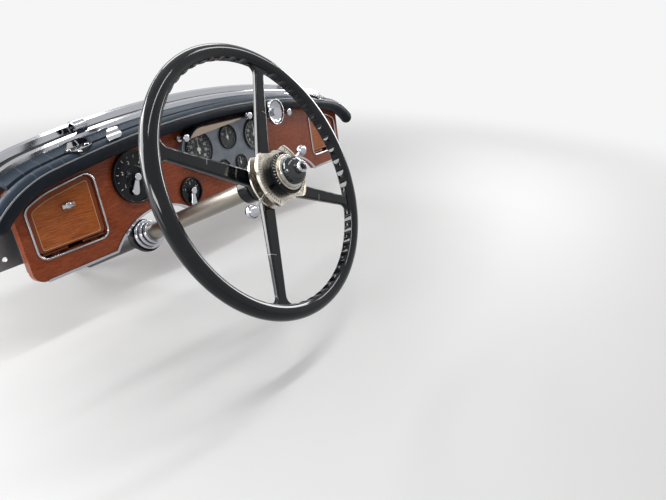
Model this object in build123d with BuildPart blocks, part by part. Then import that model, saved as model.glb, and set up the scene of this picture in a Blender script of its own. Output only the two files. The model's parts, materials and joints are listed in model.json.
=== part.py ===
"""Dashboard of a vintage luxury car, with its steering column and wheel.

The frame has +X to the car's right, +Y forward and +Z up. The origin is the
centre of the four body bolts that hold the dashboard's two end brackets.
"""
import os
from math import asin, cos, degrees, hypot, radians, sin

from build123d import *

os.makedirs("parts", exist_ok=True)

# Clearances
fit_gap = 0.3
pin_gap = 0.05
door_gap = 2.0

# Wood panel, in its own plane: x across, s up the face, z out to the driver
panel_lean = 10.0
panel_foot_y = -60.0
panel_foot_z = -98.5
panel_half_width = 548.0
panel_thickness = 14.0
panel_corner_r = 22.0

# Crown of the scuttle: one wide arc with a tighter arc at each end
crown_rise = 212.0
crown_r = 2400.0
crown_end_r = 200.0
crown_end_span = 78.0

# Lower edge: an arch on each side of a raised middle
arch_r = 155.0
arch_x = 255.0
arch_top = 58.0
middle_level = 24.0
arch_foot_r = 12.0
arch_shoulder_r = 30.0
trim_width = 5.0
trim_overhang = 2.0
trim_height = 4.0

# Glovebox openings and doors
end_stile = 22.0
box_width = 142.0
box_foot = 40.0
box_drop = 12.0
box_corner_r = 16.0
box_depth = 130.0
box_wall = 3.0
bead_width = 4.0
bead_height = 3.5
bead_round = 1.6
door_recess = 3.0
door_thickness = 9.0
door_corner_r = 8.0
catch_inset = 66.0
catch_s = 121.0
catch_r = 6.0
catch_reach = 12.0
hinge_rise = 5.6
hinge_pin_r = 1.2
hinge_barrel_r = 2.6
hinge_leaf = 1.0
hinge_knuckle = 16.0
hinge_inset = 7.0

# Instrument plate
plate_lift = 15.0
plate_sheet = 2.5
plate_cut = 10.0
plate_x = -5.0
big_gauge_x = 103.0
big_gauge_s = 156.0
big_gauge_r = 42.0
mid_gauge_s = 167.0
mid_gauge_r = 30.0
small_gauge_x = 32.0
small_gauge_s = 97.0
small_gauge_r = 20.0
plate_margin = 8.0
bezel_width = 3.0
bezel_height = 4.0
can_length = 62.0
can_flange = 3.0
dial_thickness = 1.0
glass_thickness = 1.5
needle_thickness = 1.0
needle_hub = 0.12
needle_point = 0.75
needle_tail = 0.25
needle_breadth = 0.08
lip_gap = 0.5
lip_sheet = 2.5
lip_reach = 24.0
lip_level = 193.0
flap_sheet = 1.5
flap_inset = 1.0
flap_foot = 20.0
flap_end = 60.0
knob_r = 8.5
knob_stem = 0.4
knob_head = 0.8
knob_round = 0.42
knob_collar = 0.85
knob_collar_sheet = 2.5
side_knob_gap = 2.0
side_knob_drop = 15.5
side_knob_reach = 41.0
side_knob_collar = 14.0
front_knob_x = 52.0
front_knob_reach = 14.0

# Switch dial and starter dial, each with a drop-shaped lever that hangs to the left
switch_inset = 94.0
switch_drop = 58.8
switch_r = 54.5
switch_lift = 4.0
starter_x = -148.5
starter_s = 67.3
starter_r = 32.0
starter_lift = 3.0
switch_lever_turn = 22.0
starter_lever_turn = 9.0
lever_boss_r = 8.0
lever_boss_height = 11.0
lever_length = 30.0
lever_thickness = 3.5
lever_neck_r = 3.5
lever_tip_r = 8.5
lever_edge_r = 1.2

# Knobs on the wood
dish_x = 157.0
dish_s = 202.0
dish_r = 33.0
dish_reach = 56.5
dish_depth = 20.0
dish_lip = 9.0
dish_stem_r = 4.5
dish_boss_r = 10.0
dish_sheet = 2.5
ball_x = 236.0
ball_s = 191.5
ball_r = 10.0
ball_reach = 42.0

# Leather roll and the sill behind it
roll_r = 19.0
roll_turn = 44.0
sill_slope = 12.2
sill_thickness = 8.0
sill_inset = 8.0
strip_width = 25.0
rail_height = 8.0
rail_width = 9.0
rubber_width = 14.0
cup_turn = 8.6
cup_r = 13.0
cup_wall = 3.5
cup_length = 26.0
cup_bore = 21.0
cup_foot = 8.0

# End brackets, bolted to the body
bracket_inset = 18.0
bracket_width = 52.0
bracket_sheet = 3.0
bracket_half_height = 75.0
bolt_edge = 20.0
bolt_z = 55.0
bolt_hole_r = 4.5

# Steering column, along its own axis
rake = 28.0
column_x = -300.0
column_s = 8.5
hub_reach = 385.6
jacket_r = 17.0
jacket_wall = 2.5
jacket_top = -60.0
jacket_foot = -640.0
head_r = 24.0
head_round = 4.0
head_top = -34.0
shaft_r = 11.5
shaft_top = -2.0
shaft_foot = -700.0
control_r = 7.0
control_foot = -720.0
collar_step = 11.0
collar_groove = 2.0
collar_radii = (36.0, 32.5, 28.5, 24.5)
clamp_length = 26.0
clamp_wall = 6.0

# Steering wheel
rim_r = 227.5
grip_r = 14.0
spoke_turn = 63.5
spoke_count = 4
grips_per_gap = 13
grip_depth = 3.0
grip_width = 21.0
hub_r = 34.0
hub_top = -2.0
hub_foot = -29.0
hub_neck_r = 25.0
spoke_hub_z = -15.0
spoke_hub_width = 30.0
spoke_rim_width = 19.0
spoke_hub_depth = 13.0
spoke_rim_depth = 10.0
spoke_web_r = 28.0
spoke_flare_r = 13.0
spoke_edge_r = 3.5

# Controls above the hub, which stay still when the wheel turns
quadrant_r = 57.5
quadrant_sheet = 3.0
quadrant_low = 8.0
quadrant_high = 27.0
quadrant_lip = 2.5
quadrant_band = 12.0
quadrant_step = 1.2
quadrant_corner_r = 5.0
bite_r = 95.0
bite_level = 41.0
low_quadrant_inset = 2.0
lever_level = 19.5
lever_rod_r = 2.6
hand_lever_reach = 97.0
ring_r = 36.0
ring_top = 45.0
ring_round = 1.5
pointer_reach = 8.0
pointer_width = 6.0
pointer_turn = 196.0
dome_r = 24.0
dome_top = 70.0
dome_round = 12.0
horn_step_height = 4.0
horn_step_width = 3.5
dome_knob_r = 10.0
dome_knob_height = 9.0
dome_knob_wall = 2.5

# Places that follow from the sizes above
crown_join_x = panel_half_width - crown_end_span
box_outer_x = panel_half_width - end_stile
box_inner_x = box_outer_x - box_width
catch_x = box_inner_x + catch_inset
switch_x = switch_inset - box_inner_x
hinge_spread = box_width - 2 * hinge_inset - 3 * hinge_knuckle
sill_half_width = panel_half_width - sill_inset
bracket_x = panel_half_width - bracket_inset
bracket_out_x = bracket_x + bracket_width
bolt_x = bracket_out_x - bolt_edge

lean = Plane(
    origin=(0, panel_foot_y, panel_foot_z),
    x_dir=(1, 0, 0),
    z_dir=(0, -cos(radians(panel_lean)), sin(radians(panel_lean))),
)
column_axis = Vector(0, -cos(radians(rake)), sin(radians(rake)))
wheel_centre = lean.from_local_coords(Vector(column_x, column_s, 0)) + column_axis * hub_reach
column = Plane(origin=wheel_centre, x_dir=(1, 0, 0), z_dir=column_axis)
section = Plane(origin=wheel_centre, x_dir=(1, 0, 0), z_dir=-column.y_dir)
turning_axis = Axis(wheel_centre, column_axis)


def column_way(x, y, z):
    """Return the direction that has these parts along the column plane's axes."""
    return column.x_dir * x + column.y_dir * y + column.z_dir * z


def ring_profile(inner, outer, low, high):
    """Add a rectangle between two radii and two levels to the open section sketch."""
    with Locations(((inner + outer) / 2, (low + high) / 2)):
        Rectangle(outer - inner, high - low)


def inside_rim(edge):
    """Tell whether an edge of the spider lies nearer the hub than the rim's middle."""
    place = column.to_local_coords(edge.center())
    return hypot(place.X, place.Y) < rim_r - fit_gap


def up_panel(shape):
    """Return how far the shape's centre lies up the panel's face."""
    return lean.to_local_coords(shape.center()).Y


def out_of_panel(shape):
    """Return how far the shape's centre stands out of the panel's face."""
    return lean.to_local_coords(shape.center()).Z


# The crown's two centres and the turn at which its arcs meet
crown_join = degrees(asin(crown_join_x / crown_r))
crown_centre_s = crown_rise - crown_r
end_centre_x = (crown_r - crown_end_r) * sin(radians(crown_join))
end_centre_s = crown_centre_s + (crown_r - crown_end_r) * cos(radians(crown_join))


def crown_point(turn, out=0.0):
    """Return the crown's point at a turn from upright, moved out by a distance."""
    side = 1 if turn >= 0 else -1
    angle = radians(abs(turn))
    if abs(turn) <= crown_join:
        return (side * (crown_r + out) * sin(angle), crown_centre_s + (crown_r + out) * cos(angle))
    x = end_centre_x + (crown_end_r + out) * sin(angle)
    return (side * x, end_centre_s + (crown_end_r + out) * cos(angle))


def crown_turn(x, out=0.0):
    """Return the turn at which the crown, moved out by a distance, reaches x."""
    if x <= crown_point(crown_join, out)[0]:
        return degrees(asin(x / (crown_r + out)))
    return degrees(asin((x - end_centre_x) / (crown_end_r + out)))


def crown_arcs(start, end, out=0.0):
    """Add the crown's tangent arcs from one turn to another to the open line."""
    stops = [start] + [t for t in (-crown_join, crown_join) if start < t < end] + [end]
    for low, high in zip(stops, stops[1:]):
        ThreePointArc(crown_point(low, out), crown_point((low + high) / 2, out), crown_point(high, out))


def crown_band(low, high, half_width):
    """Return the sketch between two distances from the crown, in the panel's plane."""
    with BuildSketch() as band:
        with BuildLine():
            low_turn = crown_turn(half_width, low)
            high_turn = crown_turn(half_width, high)
            crown_arcs(-low_turn, low_turn, low)
            crown_arcs(-high_turn, high_turn, high)
            Line(crown_point(-low_turn, low), crown_point(-high_turn, high))
            Line(crown_point(low_turn, low), crown_point(high_turn, high))
        make_face()
    return band.sketch_local


def box_outline(side, grow=0.0):
    """Return a glovebox opening's outline, grown by a distance."""
    outer = crown_turn(box_outer_x, -box_drop)
    inner = crown_turn(box_inner_x, -box_drop)
    with BuildSketch() as outline:
        with BuildLine():
            crown_arcs(inner, outer, -box_drop)
            Polyline(
                crown_point(outer, -box_drop),
                (box_outer_x, box_foot),
                (box_inner_x, box_foot),
                crown_point(inner, -box_drop),
            )
        make_face()
        middle_x = (box_inner_x + box_outer_x) / 2
        far = box_width / 2 - fit_gap
        fillet(outline.vertices().filter_by(lambda v: abs(v.X - middle_x) > far), box_corner_r)
        if grow:
            offset(amount=grow)
        if side < 0:
            mirror(about=Plane.YZ, mode=Mode.REPLACE)
    return outline.sketch_local


def plate_outline(grow=0.0):
    """Return the instrument plate's outline, grown by a distance."""
    with BuildSketch() as outline:
        with Locations((plate_x - big_gauge_x, big_gauge_s), (plate_x + big_gauge_x, big_gauge_s)):
            Circle(big_gauge_r + plate_margin)
        with Locations((plate_x - small_gauge_x, small_gauge_s), (plate_x + small_gauge_x, small_gauge_s)):
            Circle(small_gauge_r + plate_margin)
        make_hull()
        if grow:
            offset(amount=grow)
    return outline.sketch_local


sides = (("left", -1), ("right", 1))

# Gauges on the plate: x, s, radius
gauges = (
    (plate_x - big_gauge_x, big_gauge_s, big_gauge_r),
    (plate_x + big_gauge_x, big_gauge_s, big_gauge_r),
    (plate_x, mid_gauge_s, mid_gauge_r),
    (plate_x - small_gauge_x, small_gauge_s, small_gauge_r),
    (plate_x + small_gauge_x, small_gauge_s, small_gauge_r),
)

# Dials with a lever: x, s, radius, lift, the lever's turn from straight down
switch_s = crown_point(crown_turn(-switch_x))[1] - switch_drop
switches = (
    (switch_x, switch_s, switch_r, switch_lift, switch_lever_turn),
    (starter_x, starter_s, starter_r, starter_lift, starter_lever_turn),
)

# Wood panel
panel_cover = roll_r * 2 - sill_thickness - fit_gap
side_turn = crown_turn(panel_half_width, panel_cover)
with BuildSketch() as panel_outline:
    with BuildLine():
        crown_arcs(-side_turn, side_turn, panel_cover)
        Polyline(
            crown_point(side_turn, panel_cover),
            (panel_half_width, 0),
            (-panel_half_width, 0),
            crown_point(-side_turn, panel_cover),
        )
    make_face()
    with Locations((0, middle_level / 2)):
        Rectangle(2 * arch_x - arch_r, middle_level, mode=Mode.SUBTRACT)
    with Locations((-arch_x, arch_top - arch_r), (arch_x, arch_top - arch_r)):
        Circle(arch_r, mode=Mode.SUBTRACT)
    low = panel_outline.vertices().filter_by(lambda v: abs(v.Y) < fit_gap)
    fillet(low.filter_by(lambda v: abs(v.X) > panel_half_width - fit_gap), panel_corner_r)
    fillet(low.filter_by(lambda v: abs(v.X) < panel_half_width - fit_gap), arch_foot_r)
    fillet(panel_outline.vertices().filter_by(lambda v: abs(v.Y - middle_level) < fit_gap), arch_shoulder_r)

with BuildPart() as dash_panel:
    with BuildSketch(lean):
        add(panel_outline.sketch_local)
        for name, side in sides:
            add(box_outline(side), mode=Mode.SUBTRACT)
        add(plate_outline(-plate_cut), mode=Mode.SUBTRACT)
        for x, s, r, lift, turn in switches:
            with Locations((x, s)):
                Circle(r - plate_cut, mode=Mode.SUBTRACT)
    extrude(amount=-panel_thickness)
dash_panel.part.label = "dash_panel"
export_step(dash_panel.part, "parts/dash_panel.step")

# Bright trim along the panel's lower edge
with BuildPart() as lower_trim:
    with BuildSketch(lean):
        offset(panel_outline.sketch_local, amount=trim_overhang)
        offset(panel_outline.sketch_local, amount=trim_overhang - trim_width, mode=Mode.SUBTRACT)
        Rectangle(
            2 * (panel_half_width - panel_corner_r),
            2 * (arch_top + trim_width),
            mode=Mode.INTERSECT,
        )
    extrude(amount=trim_height)
lower_trim.part.label = "lower_trim"
export_step(lower_trim.part, "parts/lower_trim.step")

# Gloveboxes: bead, bin, door, catch and hinge on each side
hinge_s = box_foot + hinge_rise
door_foot = hinge_s + hinge_barrel_r + 2 * fit_gap + hinge_leaf
box_middle_x = (box_inner_x + box_outer_x) / 2
hinge_row = (box_middle_x - hinge_spread / 2, box_middle_x + hinge_spread / 2)
for name, side in sides:
    with BuildPart() as box_bead:
        with BuildSketch(lean):
            add(box_outline(side, bead_width))
            add(box_outline(side), mode=Mode.SUBTRACT)
        extrude(amount=bead_height)
        fillet(box_bead.edges().group_by(out_of_panel)[-1], bead_round)
    box_bead.part.label = f"{name}_box_bead"
    export_step(box_bead.part, f"parts/{name}_box_bead.step")

    with BuildPart() as box_bin:
        with BuildSketch(lean.offset(-panel_thickness)):
            add(box_outline(side, box_wall))
        extrude(amount=-box_depth)
        with BuildSketch(lean.offset(-panel_thickness)):
            add(box_outline(side))
        extrude(amount=box_wall - box_depth, mode=Mode.SUBTRACT)
    box_bin.part.label = f"{name}_box_bin"
    export_step(box_bin.part, f"parts/{name}_box_bin.step")

    with BuildPart() as box_door:
        with BuildSketch(lean.offset(-door_recess)):
            add(box_outline(side, -door_gap))
            with Locations((side * box_middle_x, door_foot / 2)):
                Rectangle(2 * box_width, door_foot, mode=Mode.SUBTRACT)
        extrude(amount=-door_thickness)
        corners = box_door.edges().filter_by(Axis((0, 0, 0), lean.z_dir)).group_by(up_panel)[0]
        fillet(corners, door_corner_r)
    box_door.part.label = f"{name}_box_door"
    export_step(box_door.part, f"parts/{name}_box_door.step")

    with BuildPart() as box_catch:
        with BuildSketch(lean.offset(-door_recess)):
            with Locations((side * catch_x, catch_s)):
                Circle(catch_r / 2)
        extrude(amount=catch_reach - catch_r)
        with BuildSketch(lean.offset(catch_reach - catch_r - door_recess)):
            with Locations((side * catch_x, catch_s)):
                Circle(catch_r)
        extrude(amount=catch_r)
        fillet(box_catch.edges().filter_by(GeomType.CIRCLE).sort_by(out_of_panel)[-1], catch_r / 3)
    box_catch.part.label = f"{name}_box_catch"
    export_step(box_catch.part, f"parts/{name}_box_catch.step")

    # The fixed knuckle carries the pin; the door's knuckles run on its two ends
    pin_plane = Plane(
        origin=lean.from_local_coords(Vector(side * box_middle_x, hinge_s, -door_recess)),
        x_dir=lean.y_dir,
        z_dir=(1, 0, 0),
    )
    with BuildPart() as fixed_hinge:
        for place in (-hinge_spread / 2, hinge_spread / 2):
            with BuildSketch(pin_plane.offset(place - hinge_knuckle / 2)):
                Circle(hinge_barrel_r)
                with Locations((-hinge_rise / 2, 0)):
                    Rectangle(hinge_rise, hinge_leaf)
            extrude(amount=hinge_knuckle)
            with BuildSketch(pin_plane.offset(place - 1.5 * hinge_knuckle)):
                Circle(hinge_pin_r)
            extrude(amount=3 * hinge_knuckle)
    fixed_hinge.part.label = f"{name}_fixed_hinge"
    export_step(fixed_hinge.part, f"parts/{name}_fixed_hinge.step")

    with BuildPart() as door_hinge:
        for place in (-hinge_spread / 2, hinge_spread / 2):
            for end in (-1, 1):
                start = place + end * (hinge_knuckle + fit_gap) - hinge_knuckle / 2
                with BuildSketch(pin_plane.offset(start)):
                    Circle(hinge_barrel_r)
                    with Locations((door_foot - hinge_s - hinge_leaf / 2, hinge_leaf)):
                        Rectangle(hinge_leaf, door_thickness, align=(Align.CENTER, Align.MAX))
                    with Locations(((door_foot - hinge_s) / 2, 0)):
                        Rectangle(door_foot - hinge_s, hinge_leaf)
                    Circle(hinge_pin_r + pin_gap, mode=Mode.SUBTRACT)
                extrude(amount=hinge_knuckle)
    door_hinge.part.label = f"{name}_door_hinge"
    export_step(door_hinge.part, f"parts/{name}_door_hinge.step")

# Instrument plate, a pressed pan that stands proud of the wood
with BuildPart() as instrument_plate:
    with BuildSketch(lean):
        add(plate_outline())
    extrude(amount=plate_lift)
    fillet(instrument_plate.faces().sort_by(out_of_panel)[-1].edges(), plate_sheet)
    with BuildSketch(lean):
        add(plate_outline(-plate_sheet))
    extrude(amount=plate_lift - plate_sheet, mode=Mode.SUBTRACT)
    for x, s, r in gauges:
        with BuildSketch(lean):
            with Locations((x, s)):
                Circle(r - bezel_width)
        extrude(amount=plate_lift, mode=Mode.SUBTRACT)
instrument_plate.part.label = "instrument_plate"
export_step(instrument_plate.part, "parts/instrument_plate.step")

# Gauges: can, dial, bezel, needle and glass, like pieces in one node
dial_level = plate_lift - plate_sheet
needle_level = dial_level + dial_thickness
glass_level = needle_level + 2 * needle_thickness + fit_gap
with BuildPart() as gauge_cans:
    for x, s, r in gauges:
        with BuildSketch(lean.offset(dial_level)):
            with Locations((x, s)):
                Circle(r - bezel_width / 2)
        extrude(amount=-can_flange)
        with BuildSketch(lean.offset(dial_level)):
            with Locations((x, s)):
                Circle(r - bezel_width)
        extrude(amount=-can_length)
gauge_cans.part.label = "gauge_cans"
export_step(gauge_cans.part, "parts/gauge_cans.step")

with BuildPart() as gauge_dials:
    for x, s, r in gauges:
        with BuildSketch(lean.offset(dial_level)):
            with Locations((x, s)):
                Circle(r - bezel_width - fit_gap)
        extrude(amount=dial_thickness)
gauge_dials.part.label = "gauge_dials"
export_step(gauge_dials.part, "parts/gauge_dials.step")

with BuildPart() as gauge_bezels:
    for x, s, r in gauges:
        with BuildSketch(lean.offset(plate_lift)):
            with Locations((x, s)):
                Circle(r)
                Circle(r - bezel_width, mode=Mode.SUBTRACT)
        extrude(amount=bezel_height)
    fillet(gauge_bezels.edges().group_by(out_of_panel)[-1], bezel_width / 3)
gauge_bezels.part.label = "gauge_bezels"
export_step(gauge_bezels.part, "parts/gauge_bezels.step")

with BuildPart() as gauge_needles:
    for x, s, r in gauges:
        with BuildSketch(lean.offset(needle_level)):
            with Locations((x, s)):
                Circle(needle_hub * r)
        extrude(amount=2 * needle_thickness)
        with BuildSketch(lean.offset(needle_level + needle_thickness)):
            with Locations((x, s)):
                Polygon(
                    (-needle_breadth * r / 2, -needle_tail * r),
                    (needle_breadth * r / 2, -needle_tail * r),
                    (0, needle_point * r),
                    align=None,
                )
        extrude(amount=needle_thickness)
gauge_needles.part.label = "gauge_needles"
export_step(gauge_needles.part, "parts/gauge_needles.step")

with BuildPart() as gauge_glasses:
    for x, s, r in gauges:
        with BuildSketch(lean.offset(glass_level)):
            with Locations((x, s)):
                Circle(r - bezel_width - fit_gap)
        extrude(amount=glass_thickness)
gauge_glasses.part.label = "gauge_glasses"
export_step(gauge_glasses.part, "parts/gauge_glasses.step")

# Lamp hood along the plate's top edge, with a slanted flap in its mouth
plate_top = big_gauge_s + big_gauge_r + plate_margin
with BuildPart() as lamp_hood:
    with BuildSketch(lean):
        add(plate_outline(lip_gap + lip_sheet))
        add(plate_outline(lip_gap), mode=Mode.SUBTRACT)
        with Locations((plate_x, lip_level)):
            Rectangle(4 * big_gauge_x, 4 * big_gauge_r, align=(Align.CENTER, Align.MIN), mode=Mode.INTERSECT)
    extrude(amount=plate_lift + lip_reach)
lamp_hood.part.label = "lamp_hood"
export_step(lamp_hood.part, "parts/lamp_hood.step")

hood_half_width = big_gauge_x + big_gauge_r + plate_margin
with BuildPart() as hood_flap:
    with BuildSketch(lean.offset(plate_lift + lip_reach - flap_inset)):
        add(plate_outline(lip_gap - fit_gap))
        Polygon(
            (plate_x - hood_half_width, plate_top - flap_foot),
            (flap_end, plate_top),
            (plate_x - hood_half_width, plate_top + flap_foot),
            align=None,
            mode=Mode.INTERSECT,
        )
    extrude(amount=-flap_sheet)
hood_flap.part.label = "hood_flap"
export_step(hood_flap.part, "parts/hood_flap.step")


def turned_knob(x, s, start, reach, head_r, collar=0.0):
    """Return a round-edged knob on a collared stem that stands out of the panel."""
    head_depth = knob_head * head_r
    with BuildPart() as knob:
        with BuildSketch(lean.offset(start)):
            with Locations((x, s)):
                Circle(knob_stem * head_r)
        extrude(amount=reach - head_depth)
        with BuildSketch(lean.offset(start + collar)):
            with Locations((x, s)):
                Circle(knob_collar * head_r)
        extrude(amount=knob_collar_sheet)
        with BuildSketch(lean.offset(start + reach - head_depth)):
            with Locations((x, s)):
                Circle(head_r)
        extrude(amount=head_depth)
        head_rims = knob.edges().filter_by(GeomType.CIRCLE)
        fillet(head_rims.filter_by(lambda e: e.radius > head_r - fit_gap), knob_round * head_depth)
    return knob.part


# Hood knobs, one on the wood beside the hood and one on its front edge: x, s, start, reach, collar
hood_knob_places = (
    (
        plate_x - hood_half_width - side_knob_gap,
        plate_top - side_knob_drop,
        0,
        side_knob_reach,
        side_knob_collar,
    ),
    (front_knob_x, plate_top + lip_gap + lip_sheet / 2, plate_lift + lip_reach, front_knob_reach, 0),
)
hood_knob_parts = [
    turned_knob(x, s, start, reach, knob_r, collar) for x, s, start, reach, collar in hood_knob_places
]
with BuildPart() as hood_knobs:
    add(hood_knob_parts)
hood_knobs.part.label = "hood_knobs"
export_step(hood_knobs.part, "parts/hood_knobs.step")

# Switch dial and starter dial
with BuildPart() as switch_dials:
    for x, s, r, lift, turn in switches:
        with BuildSketch(lean):
            with Locations((x, s)):
                Circle(r)
        extrude(amount=lift)
        with BuildSketch(lean):
            with Locations((x, s)):
                Circle(r - plate_cut - fit_gap)
        extrude(amount=-can_length)
switch_dials.part.label = "switch_dials"
export_step(switch_dials.part, "parts/switch_dials.step")

with BuildPart() as switch_bezels:
    for x, s, r, lift, turn in switches:
        with BuildSketch(lean.offset(lift)):
            with Locations((x, s)):
                Circle(r)
                Circle(r - bezel_width, mode=Mode.SUBTRACT)
        extrude(amount=bezel_height)
switch_bezels.part.label = "switch_bezels"
export_step(switch_bezels.part, "parts/switch_bezels.step")


def switch_lever(x, s, level, turn):
    """Return a drop-shaped lever that hangs from a round boss over a dial."""
    tip_x = x - lever_length * sin(radians(turn))
    tip_s = s - lever_length * cos(radians(turn))
    with BuildPart() as lever:
        with BuildSketch(lean.offset(level + bezel_height)):
            with Locations((x, s)):
                Circle(lever_neck_r)
            with Locations((tip_x, tip_s)):
                Circle(lever_tip_r)
            make_hull()
        extrude(amount=lever_thickness)
        fillet(lever.edges().group_by(out_of_panel)[-1], lever_edge_r)
        with BuildSketch(lean.offset(level)):
            with Locations((x, s)):
                Circle(lever_boss_r)
        extrude(amount=lever_boss_height)
        boss_rims = lever.edges().filter_by(GeomType.CIRCLE).group_by(out_of_panel)[-1]
        fillet(boss_rims, lever_edge_r)
    return lever.part


switch_lever_parts = [switch_lever(x, s, lift, turn) for x, s, r, lift, turn in switches]
with BuildPart() as switch_levers:
    add(switch_lever_parts)
switch_levers.part.label = "switch_levers"
export_step(switch_levers.part, "parts/switch_levers.step")

# Dished knob, a turned cup with a boss in it, and the ball knob beside it
dish_origin = lean.from_local_coords(Vector(dish_x, dish_s, 0))
with BuildPart() as dished_knob:
    with BuildSketch(Plane(origin=dish_origin, x_dir=(1, 0, 0), z_dir=-lean.y_dir)):
        with BuildLine():
            Polyline(
                (0, dish_reach - dish_sheet),
                (0, 0),
                (dish_r / 3, 0),
                (dish_r / 3, dish_sheet),
                (dish_stem_r, 2 * dish_sheet),
                (dish_stem_r, dish_reach - dish_depth),
            )
            SagittaArc((dish_stem_r, dish_reach - dish_depth), (dish_r, dish_reach - dish_lip), -dish_sheet)
            Polyline(
                (dish_r, dish_reach - dish_lip),
                (dish_r, dish_reach),
                (dish_r - dish_sheet, dish_reach),
                (dish_r - dish_sheet, dish_reach - dish_lip + dish_sheet),
            )
            SagittaArc(
                (dish_r - dish_sheet, dish_reach - dish_lip + dish_sheet),
                (dish_boss_r, dish_reach - dish_depth + 2 * dish_sheet),
                dish_sheet,
            )
            Polyline(
                (dish_boss_r, dish_reach - dish_depth + 2 * dish_sheet),
                (dish_boss_r, dish_reach - dish_sheet),
                (0, dish_reach - dish_sheet),
            )
        make_face()
    revolve(axis=Axis(dish_origin, lean.z_dir))
    fillet(dished_knob.edges().filter_by(GeomType.CIRCLE).group_by(out_of_panel)[-1], dish_sheet / 3)
dished_knob.part.label = "dished_knob"
export_step(dished_knob.part, "parts/dished_knob.step")

ball_knob = turned_knob(ball_x, ball_s, 0, ball_reach, ball_r)
ball_knob.label = "ball_knob"
export_step(ball_knob, "parts/ball_knob.step")

# Leather roll, laid in front of the panel's top edge
roll_z = roll_r + fit_gap
roll_plane = lean.offset(roll_z)
with BuildPart() as top_roll:
    with BuildLine(roll_plane) as roll_path:
        crown_arcs(-roll_turn, roll_turn, roll_r)
    with BuildSketch(Plane(origin=roll_path.line @ 0, z_dir=roll_path.line % 0)):
        Circle(roll_r)
    sweep(path=roll_path.line)
    with Locations(roll_path.line @ 0, roll_path.line @ 1):
        Sphere(roll_r)
top_roll.part.label = "top_roll"
export_step(top_roll.part, "parts/top_roll.step")

# Sill behind the roll, with its bright rails and rubber channel
sill_low = panel_cover + fit_gap
sill_high = sill_low + sill_thickness
sill_dir = Vector(0, cos(radians(sill_slope)), sin(radians(sill_slope)))


def sill_bar(start, width, low, high):
    """Return a bar that follows the crown, laid across the sill at a distance."""
    with BuildPart() as bar:
        with BuildSketch(Plane(origin=lean.origin + sill_dir * start, x_dir=lean.x_dir, z_dir=lean.z_dir)):
            add(crown_band(low, high, sill_half_width))
        extrude(amount=width, dir=sill_dir)
    return bar.part


rail_low = sill_high + fit_gap
rubber_start = strip_width + rail_width
far_rail_start = rubber_start + rubber_width
bars = (
    ("sill_board", sill_bar(0, far_rail_start + rail_width, sill_low, sill_high)),
    ("near_rail", sill_bar(strip_width, rail_width, rail_low, rail_low + rail_height)),
    ("sill_rubber", sill_bar(rubber_start, rubber_width, rail_low, rail_low + rail_height / 2)),
    ("far_rail", sill_bar(far_rail_start, rail_width, rail_low, rail_low + 2 * rail_height)),
)
for name, bar in bars:
    bar.label = name
    export_step(bar, f"parts/{name}.step")

# A round cup stands on the near rail at each side
rail_middle = sill_dir * (strip_width + rail_width / 2)
with BuildPart() as rail_cups:
    for name, side in sides:
        turn = side * cup_turn
        seat = lean.from_local_coords(Vector(*crown_point(turn, rail_low + rail_height), 0)) + rail_middle
        along = lean.x_dir * cos(radians(turn)) - lean.y_dir * sin(radians(turn))
        upright = along.cross(sill_dir).normalized()
        cup_plane = Plane(origin=seat + upright * (cup_r + fit_gap), x_dir=upright, z_dir=along)
        with BuildSketch(cup_plane):
            Circle(cup_r)
        extrude(amount=cup_length / 2, both=True)
        with BuildSketch(cup_plane):
            with Locations((-cup_r / 2, 0)):
                Rectangle(cup_r, cup_foot)
        extrude(amount=cup_length / 2, both=True)
        with BuildSketch(cup_plane.offset(side * cup_length / 2)):
            Circle(cup_r - cup_wall)
        extrude(amount=-side * cup_bore, mode=Mode.SUBTRACT)
rail_cups.part.label = "rail_cups"
export_step(rail_cups.part, "parts/rail_cups.step")

# End brackets: a leg on the wood's back, a web and a flange on the body
for name, side in sides:
    with BuildPart() as end_bracket:
        with BuildSketch(Plane.XZ):
            with Locations((side * (bracket_x + bracket_out_x) / 2, 0)):
                Rectangle(bracket_out_x - bracket_x, 2 * bracket_half_height)
            with Locations((side * bolt_x, -bolt_z), (side * bolt_x, bolt_z)):
                Circle(bolt_hole_r, mode=Mode.SUBTRACT)
        extrude(amount=bracket_sheet)
        with BuildSketch(Plane.YZ.offset(side * bracket_x)):
            with BuildLine():
                back_low = lean.from_local_coords(Vector(0, middle_level, -panel_thickness))
                back_high = back_low + lean.y_dir * (2 * bracket_half_height - middle_level)
                Polyline(
                    (back_low.Y, back_low.Z),
                    (0, -bracket_half_height),
                    (0, bracket_half_height),
                    (back_high.Y, back_high.Z),
                    close=True,
                )
            make_face()
        extrude(amount=side * bracket_sheet)
        with BuildSketch(lean.offset(-panel_thickness)):
            leg_x = side * (bracket_x + panel_half_width) / 2
            with Locations((leg_x, middle_level / 2 + bracket_half_height)):
                Rectangle(panel_half_width - bracket_x, 2 * bracket_half_height - middle_level)
        extrude(amount=-bracket_sheet)
    end_bracket.part.label = f"{name}_end_bracket"
    export_step(end_bracket.part, f"parts/{name}_end_bracket.step")


# Column: jacket, black head, stepped collar and the clamp that holds it
with BuildPart() as column_jacket:
    with BuildSketch(section):
        ring_profile(jacket_r - jacket_wall, jacket_r, jacket_foot, jacket_top)
    revolve(axis=turning_axis)
column_jacket.part.label = "column_jacket"
export_step(column_jacket.part, "parts/column_jacket.step")

with BuildPart() as column_head:
    with BuildSketch(section) as head_section:
        ring_profile(shaft_r + pin_gap, head_r, jacket_top, head_top)
        fillet(head_section.vertices().group_by(Axis.X)[-1], head_round)
    revolve(axis=turning_axis)
column_head.part.label = "column_head"
export_step(column_head.part, "parts/column_head.step")

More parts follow.
